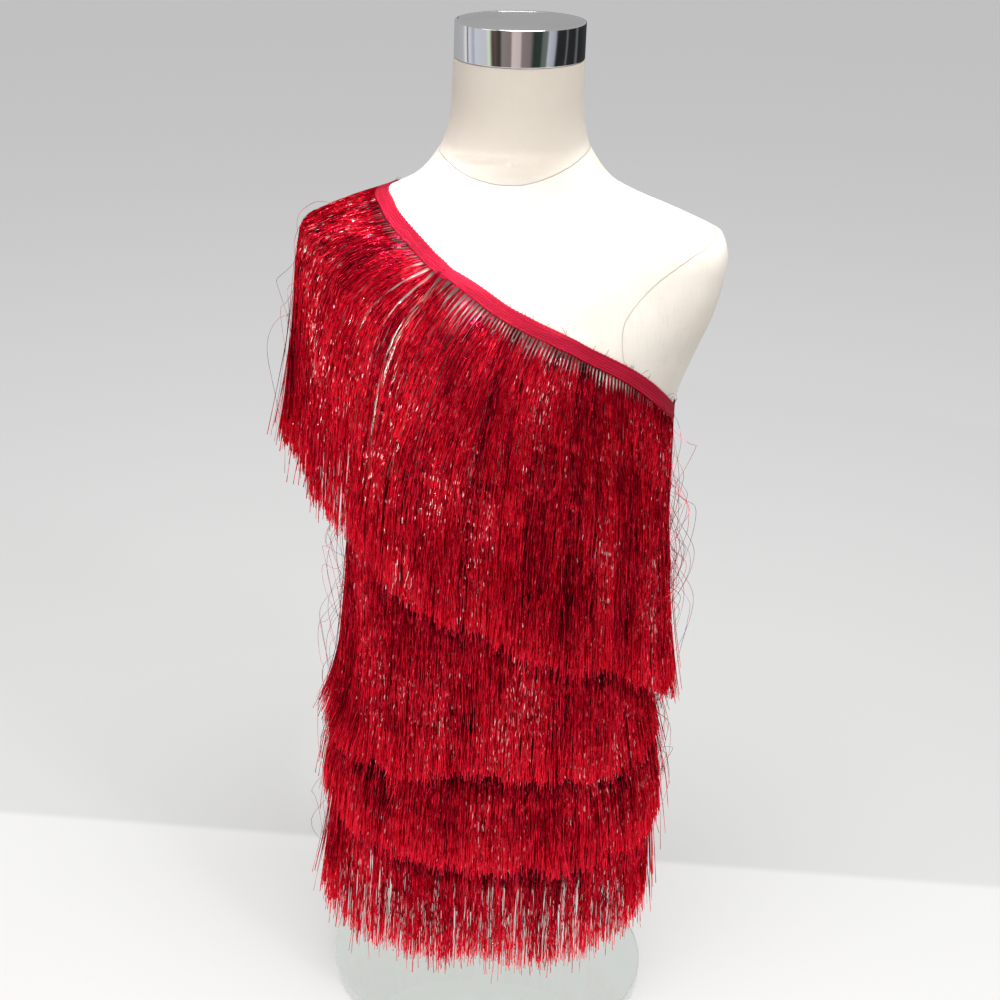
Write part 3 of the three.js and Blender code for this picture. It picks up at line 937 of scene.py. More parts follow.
cap = shape_cap()
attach(cap, "root")
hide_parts("neck_cap")
print("cap top at", round(float(points_of(cap)[:, 2].max()), 1), "mm")

# %% [markdown]
# ## The pole and the plate
#
# Under the hem stands a tube with a flange screwed to the form and a foot on the plate. Each is turned
# work, so each is a cylinder whose ends are extruded, scaled and bevelled.

# %% Shape the pole and the plate
POLE_RADIUS = 12.5
POLE_BOTTOM = 12.3
POLE_TOP = 149.7
FLANGE_RADIUS = 32
FLANGE_HEIGHT = 6
FOOT_RADIUS = 20
FOOT_HEIGHT = 14
POLE_SIDES = 64
PLATE_RADIUS = 150
PLATE_HEIGHT = 12
PLATE_SIDES = 160


def step_out(piece, faces, ratio, rise):
    """Widens an end of a turned piece by ratio, and then draws it out by rise."""
    edit(piece, "FACE", faces)
    bpy.ops.mesh.extrude_region_move()
    bpy.ops.transform.resize(value=(ratio, ratio, 1), center_override=(0, 0, 0))
    bpy.ops.mesh.extrude_region_move(TRANSFORM_OT_translate={"value": (0, 0, rise * MM)})
    bpy.ops.object.mode_set(mode="OBJECT")


def shape_pole():
    low = POLE_BOTTOM + FOOT_HEIGHT
    high = POLE_TOP - FLANGE_HEIGHT
    pole = round_piece("turned_pole", POLE_RADIUS, low, high, POLE_SIDES)
    top = faces_where(pole, lambda face: face.normal.z > 0.9)
    step_out(pole, top, FLANGE_RADIUS / POLE_RADIUS, FLANGE_HEIGHT)
    foot = faces_where(pole, lambda face: face.normal.z < -0.9)
    step_out(pole, foot, FOOT_RADIUS / POLE_RADIUS, -FOOT_HEIGHT)
    rings = [(FLANGE_RADIUS, POLE_TOP), (FLANGE_RADIUS, high), (FOOT_RADIUS, low)]
    bevel_rings(pole, rings, 1.0, 3)
    bevel_rings(pole, [(POLE_RADIUS, low), (POLE_RADIUS, high)], 1.2, 3)
    finish_round(pole)
    pole.data.materials.append(chrome_finish)
    return pole


def shape_plate():
    plate = round_piece("round_plate", PLATE_RADIUS, 0, PLATE_HEIGHT, PLATE_SIDES)
    bevel_rings(plate, [(PLATE_RADIUS, PLATE_HEIGHT)], 2.0, 5)
    bevel_rings(plate, [(PLATE_RADIUS, 0)], 1.0, 3)
    finish_round(plate)
    plate.data.materials.append(plate_finish)
    return plate


pole = shape_pole()
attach(pole, "root")
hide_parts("pole")
plate = shape_plate()
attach(plate, "root")
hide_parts("base_plate")
print("pole and plate", len(pole.data.polygons), len(plate.data.polygons), "faces")

# %% [markdown]
# ## Strands from arrays
#
# One strand of tinsel is a strip less than a millimetre wide. Here it is a flat three-sided bar with
# about ten rings of points, which turns about its own line as real film does. A whole row is made at once:
# arrays hold where each strand starts, how far it wanders sideways, how far it stands off the form,
# and how long it is. All of them read the same ways, so that the strands lie where the solids lie.

# %% Make three-sided bars along many lines at once
def bars(centre, out, width, depth, twist):
    """Points, four-sided faces and end triangles of one bar along each line of points."""
    count, steps = centre.shape[:2]
    along = unit(np.gradient(centre, axis=1))
    side = unit(np.cross(out, along))
    proud = np.cross(along, side)
    cos = np.cos(twist)[..., None]
    sin = np.sin(twist)[..., None]
    flat = side * cos + proud * sin
    edge = proud * cos - side * sin
    half = (width / 2)[..., None]
    ring = [centre - flat * half, centre + flat * half, centre + edge * depth]
    points = np.stack(ring, axis=2)
    start = (np.arange(count) * steps * 3)[:, None, None]
    step = (np.arange(steps - 1) * 3)[None, :, None]
    corner = np.arange(3)[None, None, :]
    here = start + step + corner
    beside = start + step + (corner + 1) % 3
    quads = np.stack([here, here + 3, beside + 3, beside], axis=-1).reshape(-1, 4)
    first = start[:, 0] + np.array([[0, 1, 2]])
    last = start[:, 0] + (steps - 1) * 3 + np.array([[2, 1, 0]])
    return points.reshape(-1, 3), quads, np.concatenate([first, last])


def join(parts):
    """Joins bars into one set of points and faces."""
    points = [part[0] for part in parts]
    shifts = np.cumsum([0] + [len(p) for p in points[:-1]])
    quads = np.concatenate([part[1] + shift for part, shift in zip(parts, shifts)])
    triangles = np.concatenate([part[2] + shift for part, shift in zip(parts, shifts)])
    return np.concatenate(points), quads, triangles


# %% Lay a tape square to its own run
TAPE_WIDTH = 12
TAPE_SEAT = 0.5
TAPE_THICK = 1.1
TAPE_KNOT = 5


def lay_knots(name, root):
    """The tape's lie at a few roots: places and outward directions at each millimetre of its width."""
    path = ROWS[name]

    def radius_at(angle, z):
        return grid_radius(grids[name], angle, z)

    run = unit(edge_of(path, radius_at, root + 1) - edge_of(path, radius_at, root - 1))
    place = edge_of(path, radius_at, root)
    table = []
    for _ in range(TAPE_WIDTH + 2):
        angle = np.degrees(np.arctan2(place[:, 1], place[:, 0]))
        _, _, out = slopes_at(radius_at, angle, place[:, 2])
        gap = np.hypot(place[:, 0], place[:, 1]) - radius_at(angle, place[:, 2])
        place = place - out * (gap * dot(out, around(1.0, angle, 0.0)))[:, None]
        table.append(np.concatenate([place, out, run], axis=1))
        place = place + unit(np.cross(run, out))
    table = np.stack(table, axis=1)
    table[1:-1] = (table[:-2] + 2 * table[1:-1] + table[2:]) / 4
    return table


def lay_tape(name, stretch, at):
    """Places, outward directions and the run's way, at lengths along a stretch of tape."""
    angle, run = run_of(name, stretch)
    knots = np.linspace(0, run[-1], round(run[-1] / TAPE_KNOT) + 1)
    table = lay_knots(name, np.interp(knots, run, angle))
    place = at / knots[1]
    knot = np.clip(np.floor(place).astype(int), 0, len(knots) - 2)
    share = (place - knot)[:, None, None]
    found = table[knot] * (1 - share) + table[knot + 1] * share
    return found[..., :3], unit(found[..., 3:6]), unit(found[:, 0, 6:])


def across_tape(table, widths):
    """Values at widths in millimetres, from a table with one column for each millimetre."""
    low = np.clip(np.floor(widths).astype(int), 0, TAPE_WIDTH)
    share = (widths - low)[..., None]
    row = np.arange(len(table))[:, None]
    return table[row, low] * (1 - share) + table[row, low + 1] * share


# %% Set the strands out along a tape
LENGTH = 272
STRANDS = {
    ("shoulder", "front"): 2300, ("shoulder", "back"): 1400,
    ("bust", "front"): 1900, ("bust", "back"): 1150,
    ("waist", "front"): 1900, ("waist", "back"): 1150,
    ("hip", "front"): 1900, ("hip", "back"): 1150,
}
BACKING = 180
END_ROOM = 0.3
PLACE_STEP = 0.5
FAN_AT = 120
MOST_FAN = 2.8
THIN_PLACES = {"shoulder": 0.2, "bust": 0.3, "waist": 0.3, "hip": 0.34}
BACKING_THIN = 0.1
THIN_SPACING = 11
FEWEST = 0.6
MOST = 2


def soft_step(value):
    value = np.clip(value, 0, 1)
    return value * value * (3 - 2 * value)


def drifting(chance, length, reach, spacing):
    """Uneven values along a length, which change smoothly over each spacing."""
    knots = int(length / spacing) + 3
    values = chance.normal(0, reach, knots)
    return lambda at: np.interp(at, np.arange(knots) * spacing, values)


def spread_out(chance, name, stretch, count, thin):
    """Places along a tape for a number of strands: more of them where their ways spread apart, and
    fewer where the fringe is thin."""
    angle, run = run_of(name, stretch)
    whole = run[-1]
    at = np.arange(END_ROOM, whole - END_ROOM, PLACE_STEP)
    root = np.interp(at, run, angle)
    _, _, near = on_way(name, root, 0 * root + TAPE_WIDTH)
    _, _, far = on_way(name, root, 0 * root + FAN_AT)
    fan = np.clip(far / near, 1, MOST_FAN)
    weight = np.clip(1 + drifting(chance, whole, thin, THIN_SPACING)(at), FEWEST, MOST) * fan
    share = np.cumsum(weight) / weight.sum()
    return np.interp((np.arange(count) + chance.uniform(0, 1, count)) / count, share, at)


# %% Give each point the numbers that the finish reads
def hem_height(name, angle):
    """How high a row's hem hangs at each angle round the form."""
    hem = ways[name][:, round(LENGTH / MARCH), :3]
    turn = np.degrees(np.arctan2(hem[:, 1], hem[:, 0]))
    return np.interp(angle, turn, hem[:, 2], period=360)


def below_hem(name, place):
    """How far each point hangs below the hem of the row above, which the tinsel finish reads to paint
    shade under that hem.
    """
    order = list(ROWS)
    if name == order[0]:
        return np.full(place.shape[:-1], LENGTH)
    above = order[order.index(name) - 1]
    angle = np.degrees(np.arctan2(place[..., 1], place[..., 0]))
    return hem_height(above, angle) - place[..., 2]


def numbers_of(name, place, tone, gone):
    """The tone, the length from the tape and the depth under the hem above, for each bar's points."""
    columns = [tone, gone, below_hem(name, place)]
    return [np.repeat((column + 0 * gone)[:, :, None], 3, axis=2).ravel() for column in columns]


# %% Cut each strand to its own length
RAGGED = {"shoulder": 1, "bust": 1, "waist": 1, "hip": 2.3}
SLOW_UNEVEN = (3.0, 34)
QUICK_UNEVEN = (2.5, 8)
UNEVEN = 3.5
SHORT_SHARE = 0.08
SHORT_BY = (4, 40)
LONG_SHARE = 0.04
LONG_BY = (4, 18)
CORNER = 206
CORNER_WIDTH = 15
CORNER_SHORTER = 12
BACKING_SHORTER = 24


def cut_lengths(name, chance, whole, even, root, fine):
    """Lengths that are uneven along the row, with some strands cut short and some left long. Those
    that hang over the shoulder's front corner are shorter."""
    count = len(even)
    ragged = RAGGED[name]
    uneven = drifting(chance, whole, *SLOW_UNEVEN)(even) + drifting(chance, whole, *QUICK_UNEVEN)(even)
    length = LENGTH + uneven + chance.normal(0, UNEVEN * ragged ** 0.5, count)
    short = chance.uniform(0, 1, count) < SHORT_SHARE * ragged
    length = length - np.where(short, chance.uniform(*SHORT_BY, count), 0)
    long = chance.uniform(0, 1, count) < LONG_SHARE * ragged
    length = length + np.where(long & fine, chance.uniform(*LONG_BY, count), 0)
    if name == "shoulder":
        length = length - CORNER_SHORTER * np.exp(-((root - CORNER) / CORNER_WIDTH) ** 2)
    if not fine:
        length = length - BACKING_SHORTER * ragged
    return length


# %% Let the strands gather into clumps, lean and wave
GATHERED = {"shoulder": 0.35, "bust": 0.6, "waist": 0.6, "hip": 0.85}
LEAST_GATHERED = 0.05
CLUMPS_APART = (4, 14)
CLUMP_COUNT = (8, 12)
GATHER_FROM = 30
GATHER_OVER = 200
FREE_FROM = 15
FREE_OVER = 60
LEAN = 3.6
WILD_LEAN = 15
LEAN_POWER = 1.5
WAVE = 1.0
WILD_WAVE = 2.4
WAVE_LENGTHS = (60, 150)
CRIMP = 0.5
PAST_HEM = 1.1


def gather(name, chance, whole, even, gone):
    """How far the strands draw sideways to the clumps that they hang in."""
    apart, more = CLUMP_COUNT
    centres = np.cumsum(chance.uniform(*CLUMPS_APART, int(whole / apart) + more))
    chosen = np.abs(even[:, None] - centres[None, :]).argmin(axis=1)
    pull = chance.uniform(LEAST_GATHERED, GATHERED[name], len(centres))[chosen]
    return ((centres[chosen] - even) * pull)[:, None] * soft_step((gone - GATHER_FROM) / GATHER_OVER)


def wander(chance, wild, gone, sideways):
    """Adds each strand's own lean, wave and crimp to how far it lies sideways."""
    count = len(wild)
    free = soft_step((gone - FREE_FROM) / FREE_OVER)
    part = np.clip(gone / LENGTH, 0, PAST_HEM)
    lean = chance.normal(0, np.where(wild, WILD_LEAN, LEAN), count)[:, None] * part ** LEAN_POWER
    wave = chance.normal(0, np.where(wild, WILD_WAVE, WAVE), count)[:, None]
    turns = gone / chance.uniform(*WAVE_LENGTHS, count)[:, None]
    turns = turns + chance.uniform(0, 1, count)[:, None]
    wave = wave * np.sin(2 * np.pi * turns) * free
    crimp = chance.normal(0, CRIMP, gone.shape) * free
    return sideways + lean + wave + crimp


# %% Stand the strands off the form
RISE = {"shoulder": 0.8, "bust": 1.6, "waist": 1.6, "hip": 1.6}
RISE_LENGTH = 38
FLARE_FROM = 40
CLEAR = 0.1
SEAT_DEPTH = 0.5
INNER_FLARE = 0.35
OUTER_FLARE = 0.65
STRAY = 8
MOST_STRAY = 11
SWAY = 0.4
SWAY_LENGTH = 23
SWAY_SHIFT = 5
LEAST_OFF = 0.45


def stand_off(name, chance, root, begin, gone, layer, wild):
    """How far each point stands off its row's surface: strands rise from under the tape, flare out
    toward the hem, and stray where they are wild."""
    count = len(root)
    part = np.clip(gone / LENGTH, 0, PAST_HEM)
    flaring = np.clip((gone - FLARE_FROM) / (LENGTH - FLARE_FROM), 0, PAST_HEM)
    flare = curve_at(ROWS[name], FLARE, root)[:, None]
    lifted = soft_step((gone - begin[:, None]) / RISE_LENGTH)
    seat = TAPE_SEAT + CLEAR + SEAT_DEPTH * layer
    opened = flare * flaring ** 2 * (INNER_FLARE + OUTER_FLARE * layer)
    off = seat + lifted * (CLEAR + RISE[name] * layer) + opened
    stray = np.minimum(np.abs(chance.normal(0, STRAY, count)), MOST_STRAY)
    off = off + np.where(wild, stray, 0)[:, None] * part ** 2
    sway = lifted * chance.normal(0, SWAY, count)[:, None]
    off = off + sway * np.sin(gone / SWAY_LENGTH + SWAY_SHIFT * layer)
    return np.maximum(off, LEAST_OFF)


# %% Hang the strands of one stretch
UNDER_TAPE = 3.5
TUFT = 2.8
TUFT_AT_ROOT = 0.25
TUFT_OPENS = 26
WILD = {"shoulder": 0.08, "bust": 0.08, "waist": 0.08, "hip": 0.15}
FINE_WIDTH = (0.5, 0.9)
FINE_DEPTH = 0.26
FINE_TURN = 1.15
CLUMP_TONE = (0.17, 5)
TONE_REACH = 0.75
TONE_FROM = 0.15
BACKING_WIDTH = 0.5
BACKING_WIDER = 2.0
BACKING_WIDENS = (6, 34)
BACKING_DEPTH = 0.3
BACKING_TURN = 0.3
BACKING_SHADE_TONE = 0.06
TURN_LENGTHS = (9, 26)


def hang(name, stretch, chance, count, steps, kind):
    """The bars and numbers of one kind of strand: fine ones, or the backing behind them."""
    angle, run = run_of(name, stretch)
    whole = run[-1]
    fine = kind == "fine"
    even = spread_out(chance, name, stretch, count, THIN_PLACES[name] if fine else BACKING_THIN)
    tuft = (np.floor(even / TUFT) + 0.5) * TUFT
    at_root = tuft + (even - tuft) * TUFT_AT_ROOT
    root = np.interp(np.clip(at_root, END_ROOM, whole - END_ROOM), run, angle)
    begin = (TAPE_WIDTH - UNDER_TAPE) * slant_at(name, root)
    length = cut_lengths(name, chance, whole, even, root, fine)
    gone = begin[:, None] + (length - begin)[:, None] * np.array(steps)[None, :]
    _, _, at_tape = on_way(name, root, begin)
    _, _, per_degree = on_way(name, root[:, None] + 0 * gone, gone)
    fan = per_degree / at_tape[:, None]
    gathering = gather(name, chance, whole, even, gone)
    opening = (even - at_root)[:, None] * soft_step((gone - begin[:, None]) / TUFT_OPENS)
    wild = fine & (chance.uniform(0, 1, count) < WILD[name])
    sideways = wander(chance, wild, gone, (gathering + opening) * fan)
    layer = chance.uniform(0, 1, count)[:, None] if fine else 0.0 * gone
    off = stand_off(name, chance, root, begin, gone, layer, wild)
    place, out, _ = on_way(name, root[:, None] + sideways / per_degree, gone)
    line = place + out * off[..., None]
    if fine:
        width = chance.uniform(*FINE_WIDTH, count)[:, None] + 0 * gone
        clump = drifting(chance, whole, *CLUMP_TONE)(even)
        tone = np.clip(chance.uniform(0, 1, count) * TONE_REACH + TONE_FROM + clump, 0.02, 1)
    else:
        begun, over = BACKING_WIDENS
        width = BACKING_WIDTH + BACKING_WIDER * soft_step((gone - begin[:, None] - begun) / over)
        # Painted shade: the backing strands are near black, to fill the gaps between the fine strands with
        # shade.
        tone = chance.uniform(0, BACKING_SHADE_TONE, count)
    turns = gone / chance.uniform(*TURN_LENGTHS, count)[:, None]
    turns = turns + chance.uniform(0, 7, count)[:, None]
    twist = (FINE_TURN if fine else BACKING_TURN) * np.sin(turns)
    made = bars(line, out, width, FINE_DEPTH if fine else BACKING_DEPTH, twist)
    return made, numbers_of(name, line, tone[:, None], gone)


# %% Sew the chain stitch that holds the strands
STITCH_INSET = 0.4
STITCH_BELOW = 0.35
STITCH_WAVE = 0.22
STITCH_DOWN = 0.25
STITCH_RISE = 0.2
THREAD_WIDTH = 0.7
THREAD_DEPTH = 0.5
THREAD_TONE = 0.5


def chain_stitch(name, stretch, pitch):
    """The thread that holds the strands under the tape's lower edge."""
    _, run = run_of(name, stretch)
    at = np.arange(STITCH_INSET, run[-1] - STITCH_INSET, pitch)
    places, outs, _ = lay_tape(name, stretch, at)
    turn = np.arange(len(at)) * math.pi / 2
    widths = TAPE_WIDTH + STITCH_BELOW + STITCH_WAVE * np.cos(turn)[:, None]
    out = across_tape(outs, widths)[:, 0]
    off = TAPE_SEAT + TAPE_THICK - STITCH_DOWN + STITCH_RISE * np.sin(turn)
    line = (across_tape(places, widths)[:, 0] + out * off[:, None])[None]
    gone = np.full(line.shape[:2], TAPE_WIDTH)
    made = bars(line, out[None], np.full(line.shape[:2], THREAD_WIDTH), THREAD_DEPTH, 0.0 * gone)
    return made, numbers_of(name, line, THREAD_TONE, gone)


# %% Spring the fly-away strands out of the fringe
FLY_STEPS = 20
FLYAWAYS = {"shoulder": 34, "bust": 44, "waist": 34, "hip": 20}
FLY_AT_COVERED = {"shoulder": 0.15, "bust": 0.6, "waist": 0.55, "hip": 0.5}
FLY_AT_SIDE = 0.65
FLY_NEAR = 9
FLY_FAR = 90
FLY_LENGTH = (45, 130)
FLY_FROM = (20, 170)
FLY_CURL = 0.55
FLY_BULGE = (4, 26)
FLY_SKEW = (0.5, 1.5)
FLY_LEAN = 7
FLY_WAVE = 5
FLY_OFF = 1.5
FLY_FLARE = 0.6
FLY_WIDTH = 0.34
FLY_DEPTH = 0.22
FLY_TURN = 3
ROOM = 12
COVERED_SIDE = 180


def keep_in_room(line):
    """Holds loose strands near the solids' box."""
    low = np.array(cad_box[0]) / MM - ROOM
    high = np.array(cad_box[1]) / MM + ROOM
    return np.clip(line, low, high)


def fly_away(name, stretch, chance, count):
    """Single strands that have sprung out of the fringe in long curls, most of them at the sides."""
    start, end = STRETCHES[stretch]
    near_end = chance.uniform(0, 1, count) < FLY_AT_SIDE
    near = np.abs(chance.normal(0, FLY_NEAR, count))
    inset = np.where(near_end, near, chance.uniform(FLY_NEAR, FLY_FAR, count))
    covered = chance.uniform(0, 1, count) < FLY_AT_COVERED[name]
    inward = 1 if start == COVERED_SIDE else -1
    bare_side = end if start == COVERED_SIDE else start
    root = np.where(covered, COVERED_SIDE + inward * inset, bare_side - inward * inset)
    share = np.linspace(0, 1, FLY_STEPS)[None, :]
    length = chance.uniform(*FLY_LENGTH, count)[:, None]
    first = chance.uniform(*FLY_FROM, count)[:, None]
    curl = chance.uniform(0, FLY_CURL, count)[:, None]
    phase = chance.uniform(0, 1, count)[:, None]
    gone = first + length * (share - curl * np.sin(np.pi * share) ** 2 * share)
    bulge = chance.uniform(*FLY_BULGE, count)[:, None]
    bulge = bulge * np.sin(np.pi * share ** chance.uniform(*FLY_SKEW, count)[:, None])
    sideways = chance.normal(0, FLY_LEAN, count)[:, None] * share
    wave = chance.normal(0, FLY_WAVE, count)[:, None] * np.sin(2 * np.pi * (share + phase))
    sideways = (sideways + wave) * soft_step(share * 4)
    _, _, per_degree = on_way(name, root[:, None] + 0 * gone, gone)
    place, out, _ = on_way(name, root[:, None] + sideways / per_degree, gone)
    flare = curve_at(ROWS[name], FLARE, root)[:, None] * np.clip(gone / LENGTH, 0, 1) ** 2
    line = keep_in_room(place + out * (FLY_OFF + flare * FLY_FLARE + bulge)[..., None])
    made = bars(line, out, np.full(line.shape[:2], FLY_WIDTH), FLY_DEPTH, FLY_TURN * share + 0 * gone)
    tone = chance.uniform(0.0, 0.9, count)[:, None]
    return made, numbers_of(name, line, tone, gone)


# %% Let thread ends stand out of the tape's upper edge
END_STEPS = 6
END_INSET = 2
END_LENGTH = (1.5, 7)
END_LEAN = 0.7
END_OFF = 1.2
END_RISE = 2.5
END_WIDTH = 0.3
END_DEPTH = 0.2
END_TONE = 0.03


def thread_ends(name, stretch, chance, count):
    """Short ends of thread that stand out of the tape's upper edge."""
    _, run = run_of(name, stretch)
    at = chance.uniform(END_INSET, run[-1] - END_INSET, count)
    places, outs, along = lay_tape(name, stretch, at)
    share = np.linspace(0, 1, END_STEPS)[None, :, None]
    length = chance.uniform(*END_LENGTH, count)[:, None, None]
    up = unit(places[:, 0] - places[:, 1])[:, None, :]
    lean = chance.normal(0, END_LEAN, count)[:, None, None]
    line = places[:, :1] + up * length * share + along[:, None, :] * lean * length * share ** 2
    line = line + outs[:, :1] * (END_OFF + chance.uniform(0, END_RISE, count)[:, None, None] * share)
    flat = np.full(line.shape[:2], END_WIDTH)
    made = bars(line, outs[:, :1] + 0 * line, flat, END_DEPTH, 0 * flat)
    return made, numbers_of(name, line, END_TONE, 0 * flat)


# %% Make the fringe of each stretch
UPPER_STEPS = [0, 0.03, 0.07, 0.12, 0.19, 0.27, 0.38, 0.52, 0.68, 0.84, 1]
LOWER_STEPS = [0, 0.08, 0.2, 0.34, 0.48, 0.62, 0.75, 0.88, 1]
SHOWN_PITCH = 0.85
HIDDEN_PITCH = 2.5
THREAD_ENDS = {"front": 46, "back": 30}
FIRST_SEED = 11
SEEDS_APART = 10


def make_fringe(name, stretch, seed):
    """The whole fringe of one stretch. Only the top row's stitching and thread ends show."""
    chance = np.random.default_rng(seed)
    upper = name == "shoulder"
    flying = FLYAWAYS[name] if stretch == "front" else FLYAWAYS[name] // 2
    steps = UPPER_STEPS if upper else LOWER_STEPS
    parts = [
        hang(name, stretch, chance, STRANDS[(name, stretch)], steps, "fine"),
        hang(name, stretch, chance, BACKING, steps, "backing"),
        chain_stitch(name, stretch, SHOWN_PITCH if upper else HIDDEN_PITCH),
        fly_away(name, stretch, chance, flying),
    ]
    if upper:
        parts.append(thread_ends(name, stretch, chance, THREAD_ENDS[stretch]))
    points, quads, triangles = join([part[0] for part in parts])
    piece = mesh_piece(f"strands_{name}_{stretch}", points, quads, triangles)
    for number, title in enumerate(("tone", "along", "under")):
        give_numbers(piece, title, np.concatenate([part[1][number] for part in parts]))
    piece.data.materials.append(tinsel)
    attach(piece, "root")
    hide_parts(f"fringe_{name}_{stretch}")
    lowest = round(points[:, 2].min())
    print(piece.name, 2 * len(quads) + len(triangles), "triangles, lowest", lowest, "mm")
    return piece


for order, name in enumerate(ROWS):
    for half, stretch in enumerate(STRETCHES):
        seed = FIRST_SEED + SEEDS_APART * order + half
        make_fringe(name, stretch, seed)

# %% [markdown]
# ## The woven tapes
#
# The tape is a narrow ribbed weave, 12 mm wide, laid flat on the form with its width square to its own
# run. Six ribs run along it, and small loops stand out of its upper edge.

# %% Weave the tape of each stretch
RIBS = 6
RIB_HEIGHT = 0.22
GROUND = 0.2
LOOP = 0.6
LOOP_PITCH = 3.4
SHOWN_STATION = 0.85
HIDDEN_STATION = 2.6
SHOWN_COLUMNS = 4
HIDDEN_COLUMNS = 2
TAPE_END = 0.2


def make_tape(name, stretch):
    """One stretch of tape, as a closed strip. Only the top row's has loops and fine ribs, as it shows."""
    whole = run_of(name, stretch)[1][-1]
    upper = name == "shoulder"
    stations = int(whole / (SHOWN_STATION if upper else HIDDEN_STATION))
    at = np.linspace(TAPE_END, whole - TAPE_END, stations + 1)
    places, outs, _ = lay_tape(name, stretch, at)
    columns = SHOWN_COLUMNS if upper else HIDDEN_COLUMNS
    across = np.linspace(0, TAPE_WIDTH, RIBS * columns + 1)
    rib = RIB_HEIGHT * np.abs(np.sin(across / TAPE_WIDTH * RIBS * math.pi))
    loop = LOOP * np.maximum(0, np.cos(at * 2 * math.pi / LOOP_PITCH)) ** 3 if upper else 0 * at
    face = across[None, :] + 0 * at[:, None]
    face[:, 0] -= loop
    back = np.array([TAPE_WIDTH, TAPE_WIDTH / 2, 0])[None, :] + 0 * at[:, None]
    back[:, -1] -= loop
    widths = np.concatenate([face, back], axis=1)
    front_off = TAPE_SEAT + TAPE_THICK - GROUND + rib
    offs = np.concatenate([front_off, np.full(3, TAPE_SEAT)])[None, :, None]
    points = (across_tape(places, widths) + unit(across_tape(outs, widths)) * offs).reshape(-1, 3)
    ring = widths.shape[1]
    start = (np.arange(stations) * ring)[:, None]
    here = start + np.arange(ring)[None, :]
    beside = start + (np.arange(ring)[None, :] + 1) % ring
    quads = np.stack([here, beside, beside + ring, here + ring], axis=-1).reshape(-1, 4)
    fan = np.arange(1, ring - 1)
    first = np.stack([0 * fan, fan + 1, fan], axis=1)
    last = stations * ring + np.stack([0 * fan, fan, fan + 1], axis=1)
    ends = np.concatenate([first, last])
    piece = mesh_piece(f"woven_tape_{name}_{stretch}", points, quads, ends, smooth=True)
    give_uv(piece, widths.ravel(), np.repeat(at, ring))
    piece.data.materials.append(tape_finish)
    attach(piece, "root")
    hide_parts(f"tape_{name}_{stretch}")
    print(piece.name, round(whole), "mm long,", len(quads) * 2, "triangles")


for name in ROWS:
    for stretch in STRETCHES:
        make_tape(name, stretch)

# %% [markdown]
# ## Room and light
#
# The form stands on a pale floor in a bright shop. A big soft light hangs overhead and in front, a
# weaker one fills from the left, and small ones make glints. Polished metal and tinsel show what is
# round them, so a low screen of upright stripes stands round the form. Only mirrors and glass see it.

# %% Lay the floor
def mix_floor():
    shop = Shop("pale floor")
    split = shop.node("SeparateXYZ", None, {0: shop.place()}, out=1)
    cloud = shop.noise(shop.place(), 3.0, 2.0)
    far = shop.pinch(split + cloud * 0.1, 0.2, 2.6)
    # Painted light: the floor glows. Its glow steps down past a line 0.17 to 0.19 m behind the axis and
    # fades farther back, while its own colour grows lighter far away.
    glow_step = shop.pinch(split, 0.172, 0.186)
    glow = shop.mix(far, (0.34, 0.34, 0.335), (0.30, 0.295, 0.295))
    return shop.surface(
        Base_Color=shop.mix(far, (0.36, 0.36, 0.355), (0.47, 0.465, 0.465)),
        Roughness=0.7 + cloud * 0.1,
        Emission_Color=shop.mix(glow_step, (0.46, 0.46, 0.45), glow),
        Emission_Strength=1.0,
    )


bpy.ops.object.select_all(action="DESELECT")
bpy.ops.mesh.primitive_circle_add(vertices=96, radius=14, fill_type="NGON", location=(0, 0, 0))
floor = start_piece("floor")
floor.data.materials.append(mix_floor())

# %% Stand a striped screen round the form, for its mirrored light alone: angle and colour
SCREEN_RADIUS = 1.75
SCREEN_HEIGHT = 1.1
SCREEN_LIFT = 0.01
SCREEN_GLOW = 0.9
SCREEN = [
    (-180, (0.40, 0.40, 0.40)), (-112, (0.55, 0.55, 0.55)), (-102, (1.0, 1.0, 1.0)),
    (-99, (0.01, 0.01, 0.01)), (-95, (0.85, 0.86, 0.90)), (-84, (0.45, 0.47, 0.52)),
    (-80, (0.72, 0.73, 0.80)), (-58, (0.66, 0.68, 0.72)), (-52, (0.85, 0.95, 0.72)),
    (-47, (0.05, 0.03, 0.025)), (-42, (0.12, 0.07, 0.05)), (-33, (0.02, 0.02, 0.02)),
    (-29, (0.30, 0.26, 0.24)), (-14, (0.26, 0.20, 0.19)), (-11, (0.80, 0.66, 0.62)),
    (3, (0.70, 0.58, 0.55)), (5, (0.30, 0.22, 0.22)), (20, (0.24, 0.20, 0.19)),
    (27, (0.015, 0.03, 0.02)), (41, (0.02, 0.04, 0.03)), (43, (0.12, 0.16, 0.13)),
    (52, (0.16, 0.18, 0.16)), (54, (0.60, 0.62, 0.68)), (66, (0.45, 0.46, 0.52)),
    (70, (0.01, 0.01, 0.012)), (88, (0.012, 0.012, 0.014)), (91, (0.20, 0.20, 0.20)),
    (94, (0.012, 0.012, 0.014)), (112, (0.01, 0.01, 0.012)), (118, (0.16, 0.17, 0.17)),
    (124, (0.008, 0.008, 0.01)), (180, (0.05, 0.05, 0.05)),
]


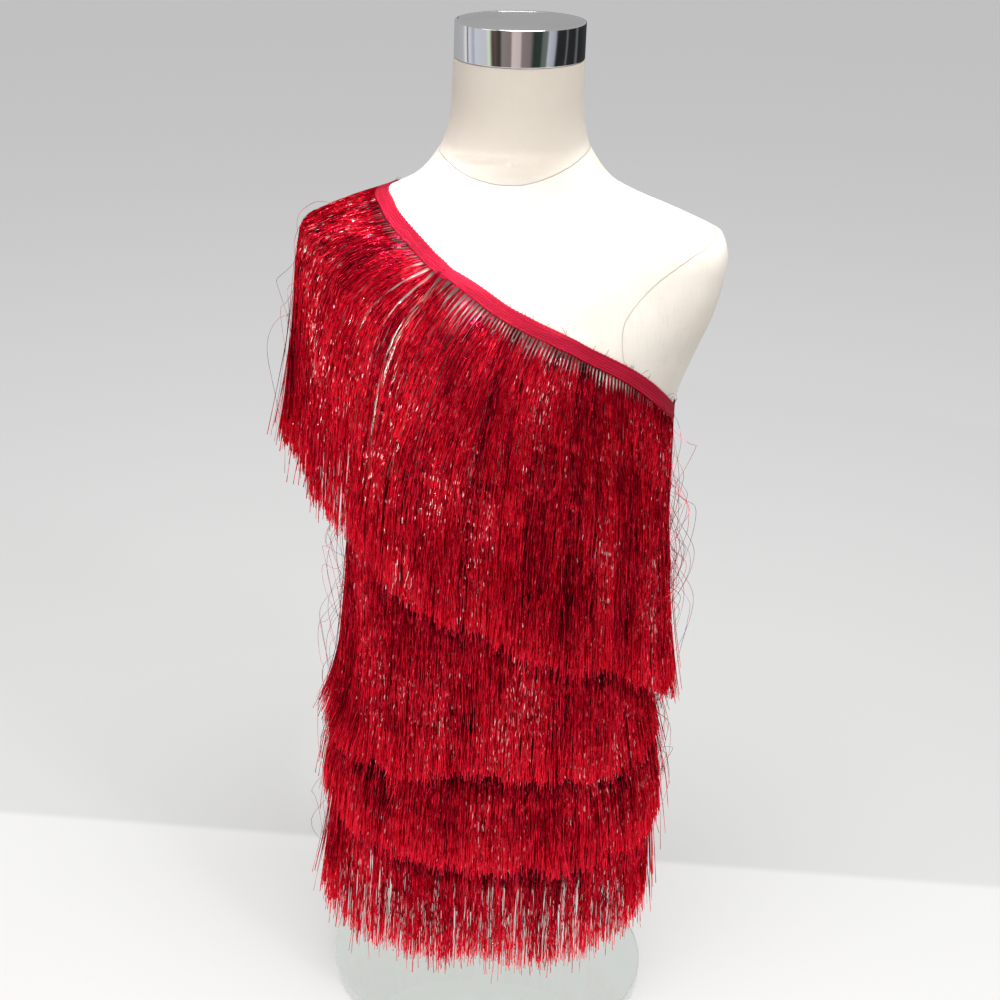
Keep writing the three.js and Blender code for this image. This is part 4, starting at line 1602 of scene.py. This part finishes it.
def mix_screen():
    shop = Shop("striped screen")
    split = shop.node("SeparateXYZ", None, {0: shop.place()}).socket.node
    turn = shop.node("Math", {"operation": "ARCTAN2"},
                     {0: Wire(shop, split.outputs[0]), 1: Wire(shop, split.outputs[1]) * -1.0})
    stops = [((angle + 180) / 360, colour) for angle, colour in SCREEN]
    stripes = shop.node("ValToRGB", {"stops": stops}, {0: turn / (2 * math.pi) + 0.5})
    return shop.surface(
        Base_Color=(0, 0, 0, 1),
        Roughness=1.0,
        Emission_Color=stripes,
        Emission_Strength=SCREEN_GLOW,
    )


bpy.ops.object.select_all(action="DESELECT")
bpy.ops.mesh.primitive_cylinder_add(
    vertices=180, radius=SCREEN_RADIUS, depth=SCREEN_HEIGHT, end_fill_type="NOTHING",
    location=(0, 0, SCREEN_HEIGHT / 2 + SCREEN_LIFT))
screen = settle_place(start_piece("striped_screen"))
screen.data.materials.append(mix_screen())
screen.visible_camera = False
screen.visible_diffuse = False
screen.visible_shadow = False


# %% Hang the lights
def soft_light(name, place, aim, size, power, colour=(1, 1, 1), spread=180):
    data = bpy.data.lights.new(name, "AREA")
    data.shape = "RECTANGLE"
    data.size, data.size_y = size
    data.energy = power
    data.color = colour
    light = bpy.data.objects.new(name, data)
    bpy.context.scene.collection.objects.link(light)
    light.location = place
    light.rotation_euler = (Vector(aim) - Vector(place)).to_track_quat("-Z", "Y").to_euler()
    data.spread = math.radians(spread)
    return light


soft_light("overhead", (0.1, -0.5, 2.35), (0, 0, 0.6), (1.4, 0.9), 50)
soft_light("left fill", (-1.7, -1.2, 1.3), (0, 0, 0.6), (0.9, 1.4), 6, (1, 0.94, 0.88))
soft_light("right glint", (1.1, -1.3, 2.2), (0, 0, 0.7), (0.25, 0.25), 10)
soft_light("left glint", (-0.35, -1.2, 2.2), (-0.095, -0.09, 0.64), (0.15, 0.15), 0.45, spread=9)

world = bpy.data.worlds.new("room")
world.use_nodes = True
background = world.node_tree.nodes["Background"]
background.inputs["Color"].default_value = (0.88, 0.89, 0.92, 1)
background.inputs["Strength"].default_value = 0.5
bpy.context.scene.world = world
bpy.context.scene.view_settings.view_transform = "Standard"

# %% [markdown]
# ## Measure
#
# The fine pieces keep to the space of the solids, and the solids' box is printed.

# %% Print the solids' box
print("cad box", cad_box)
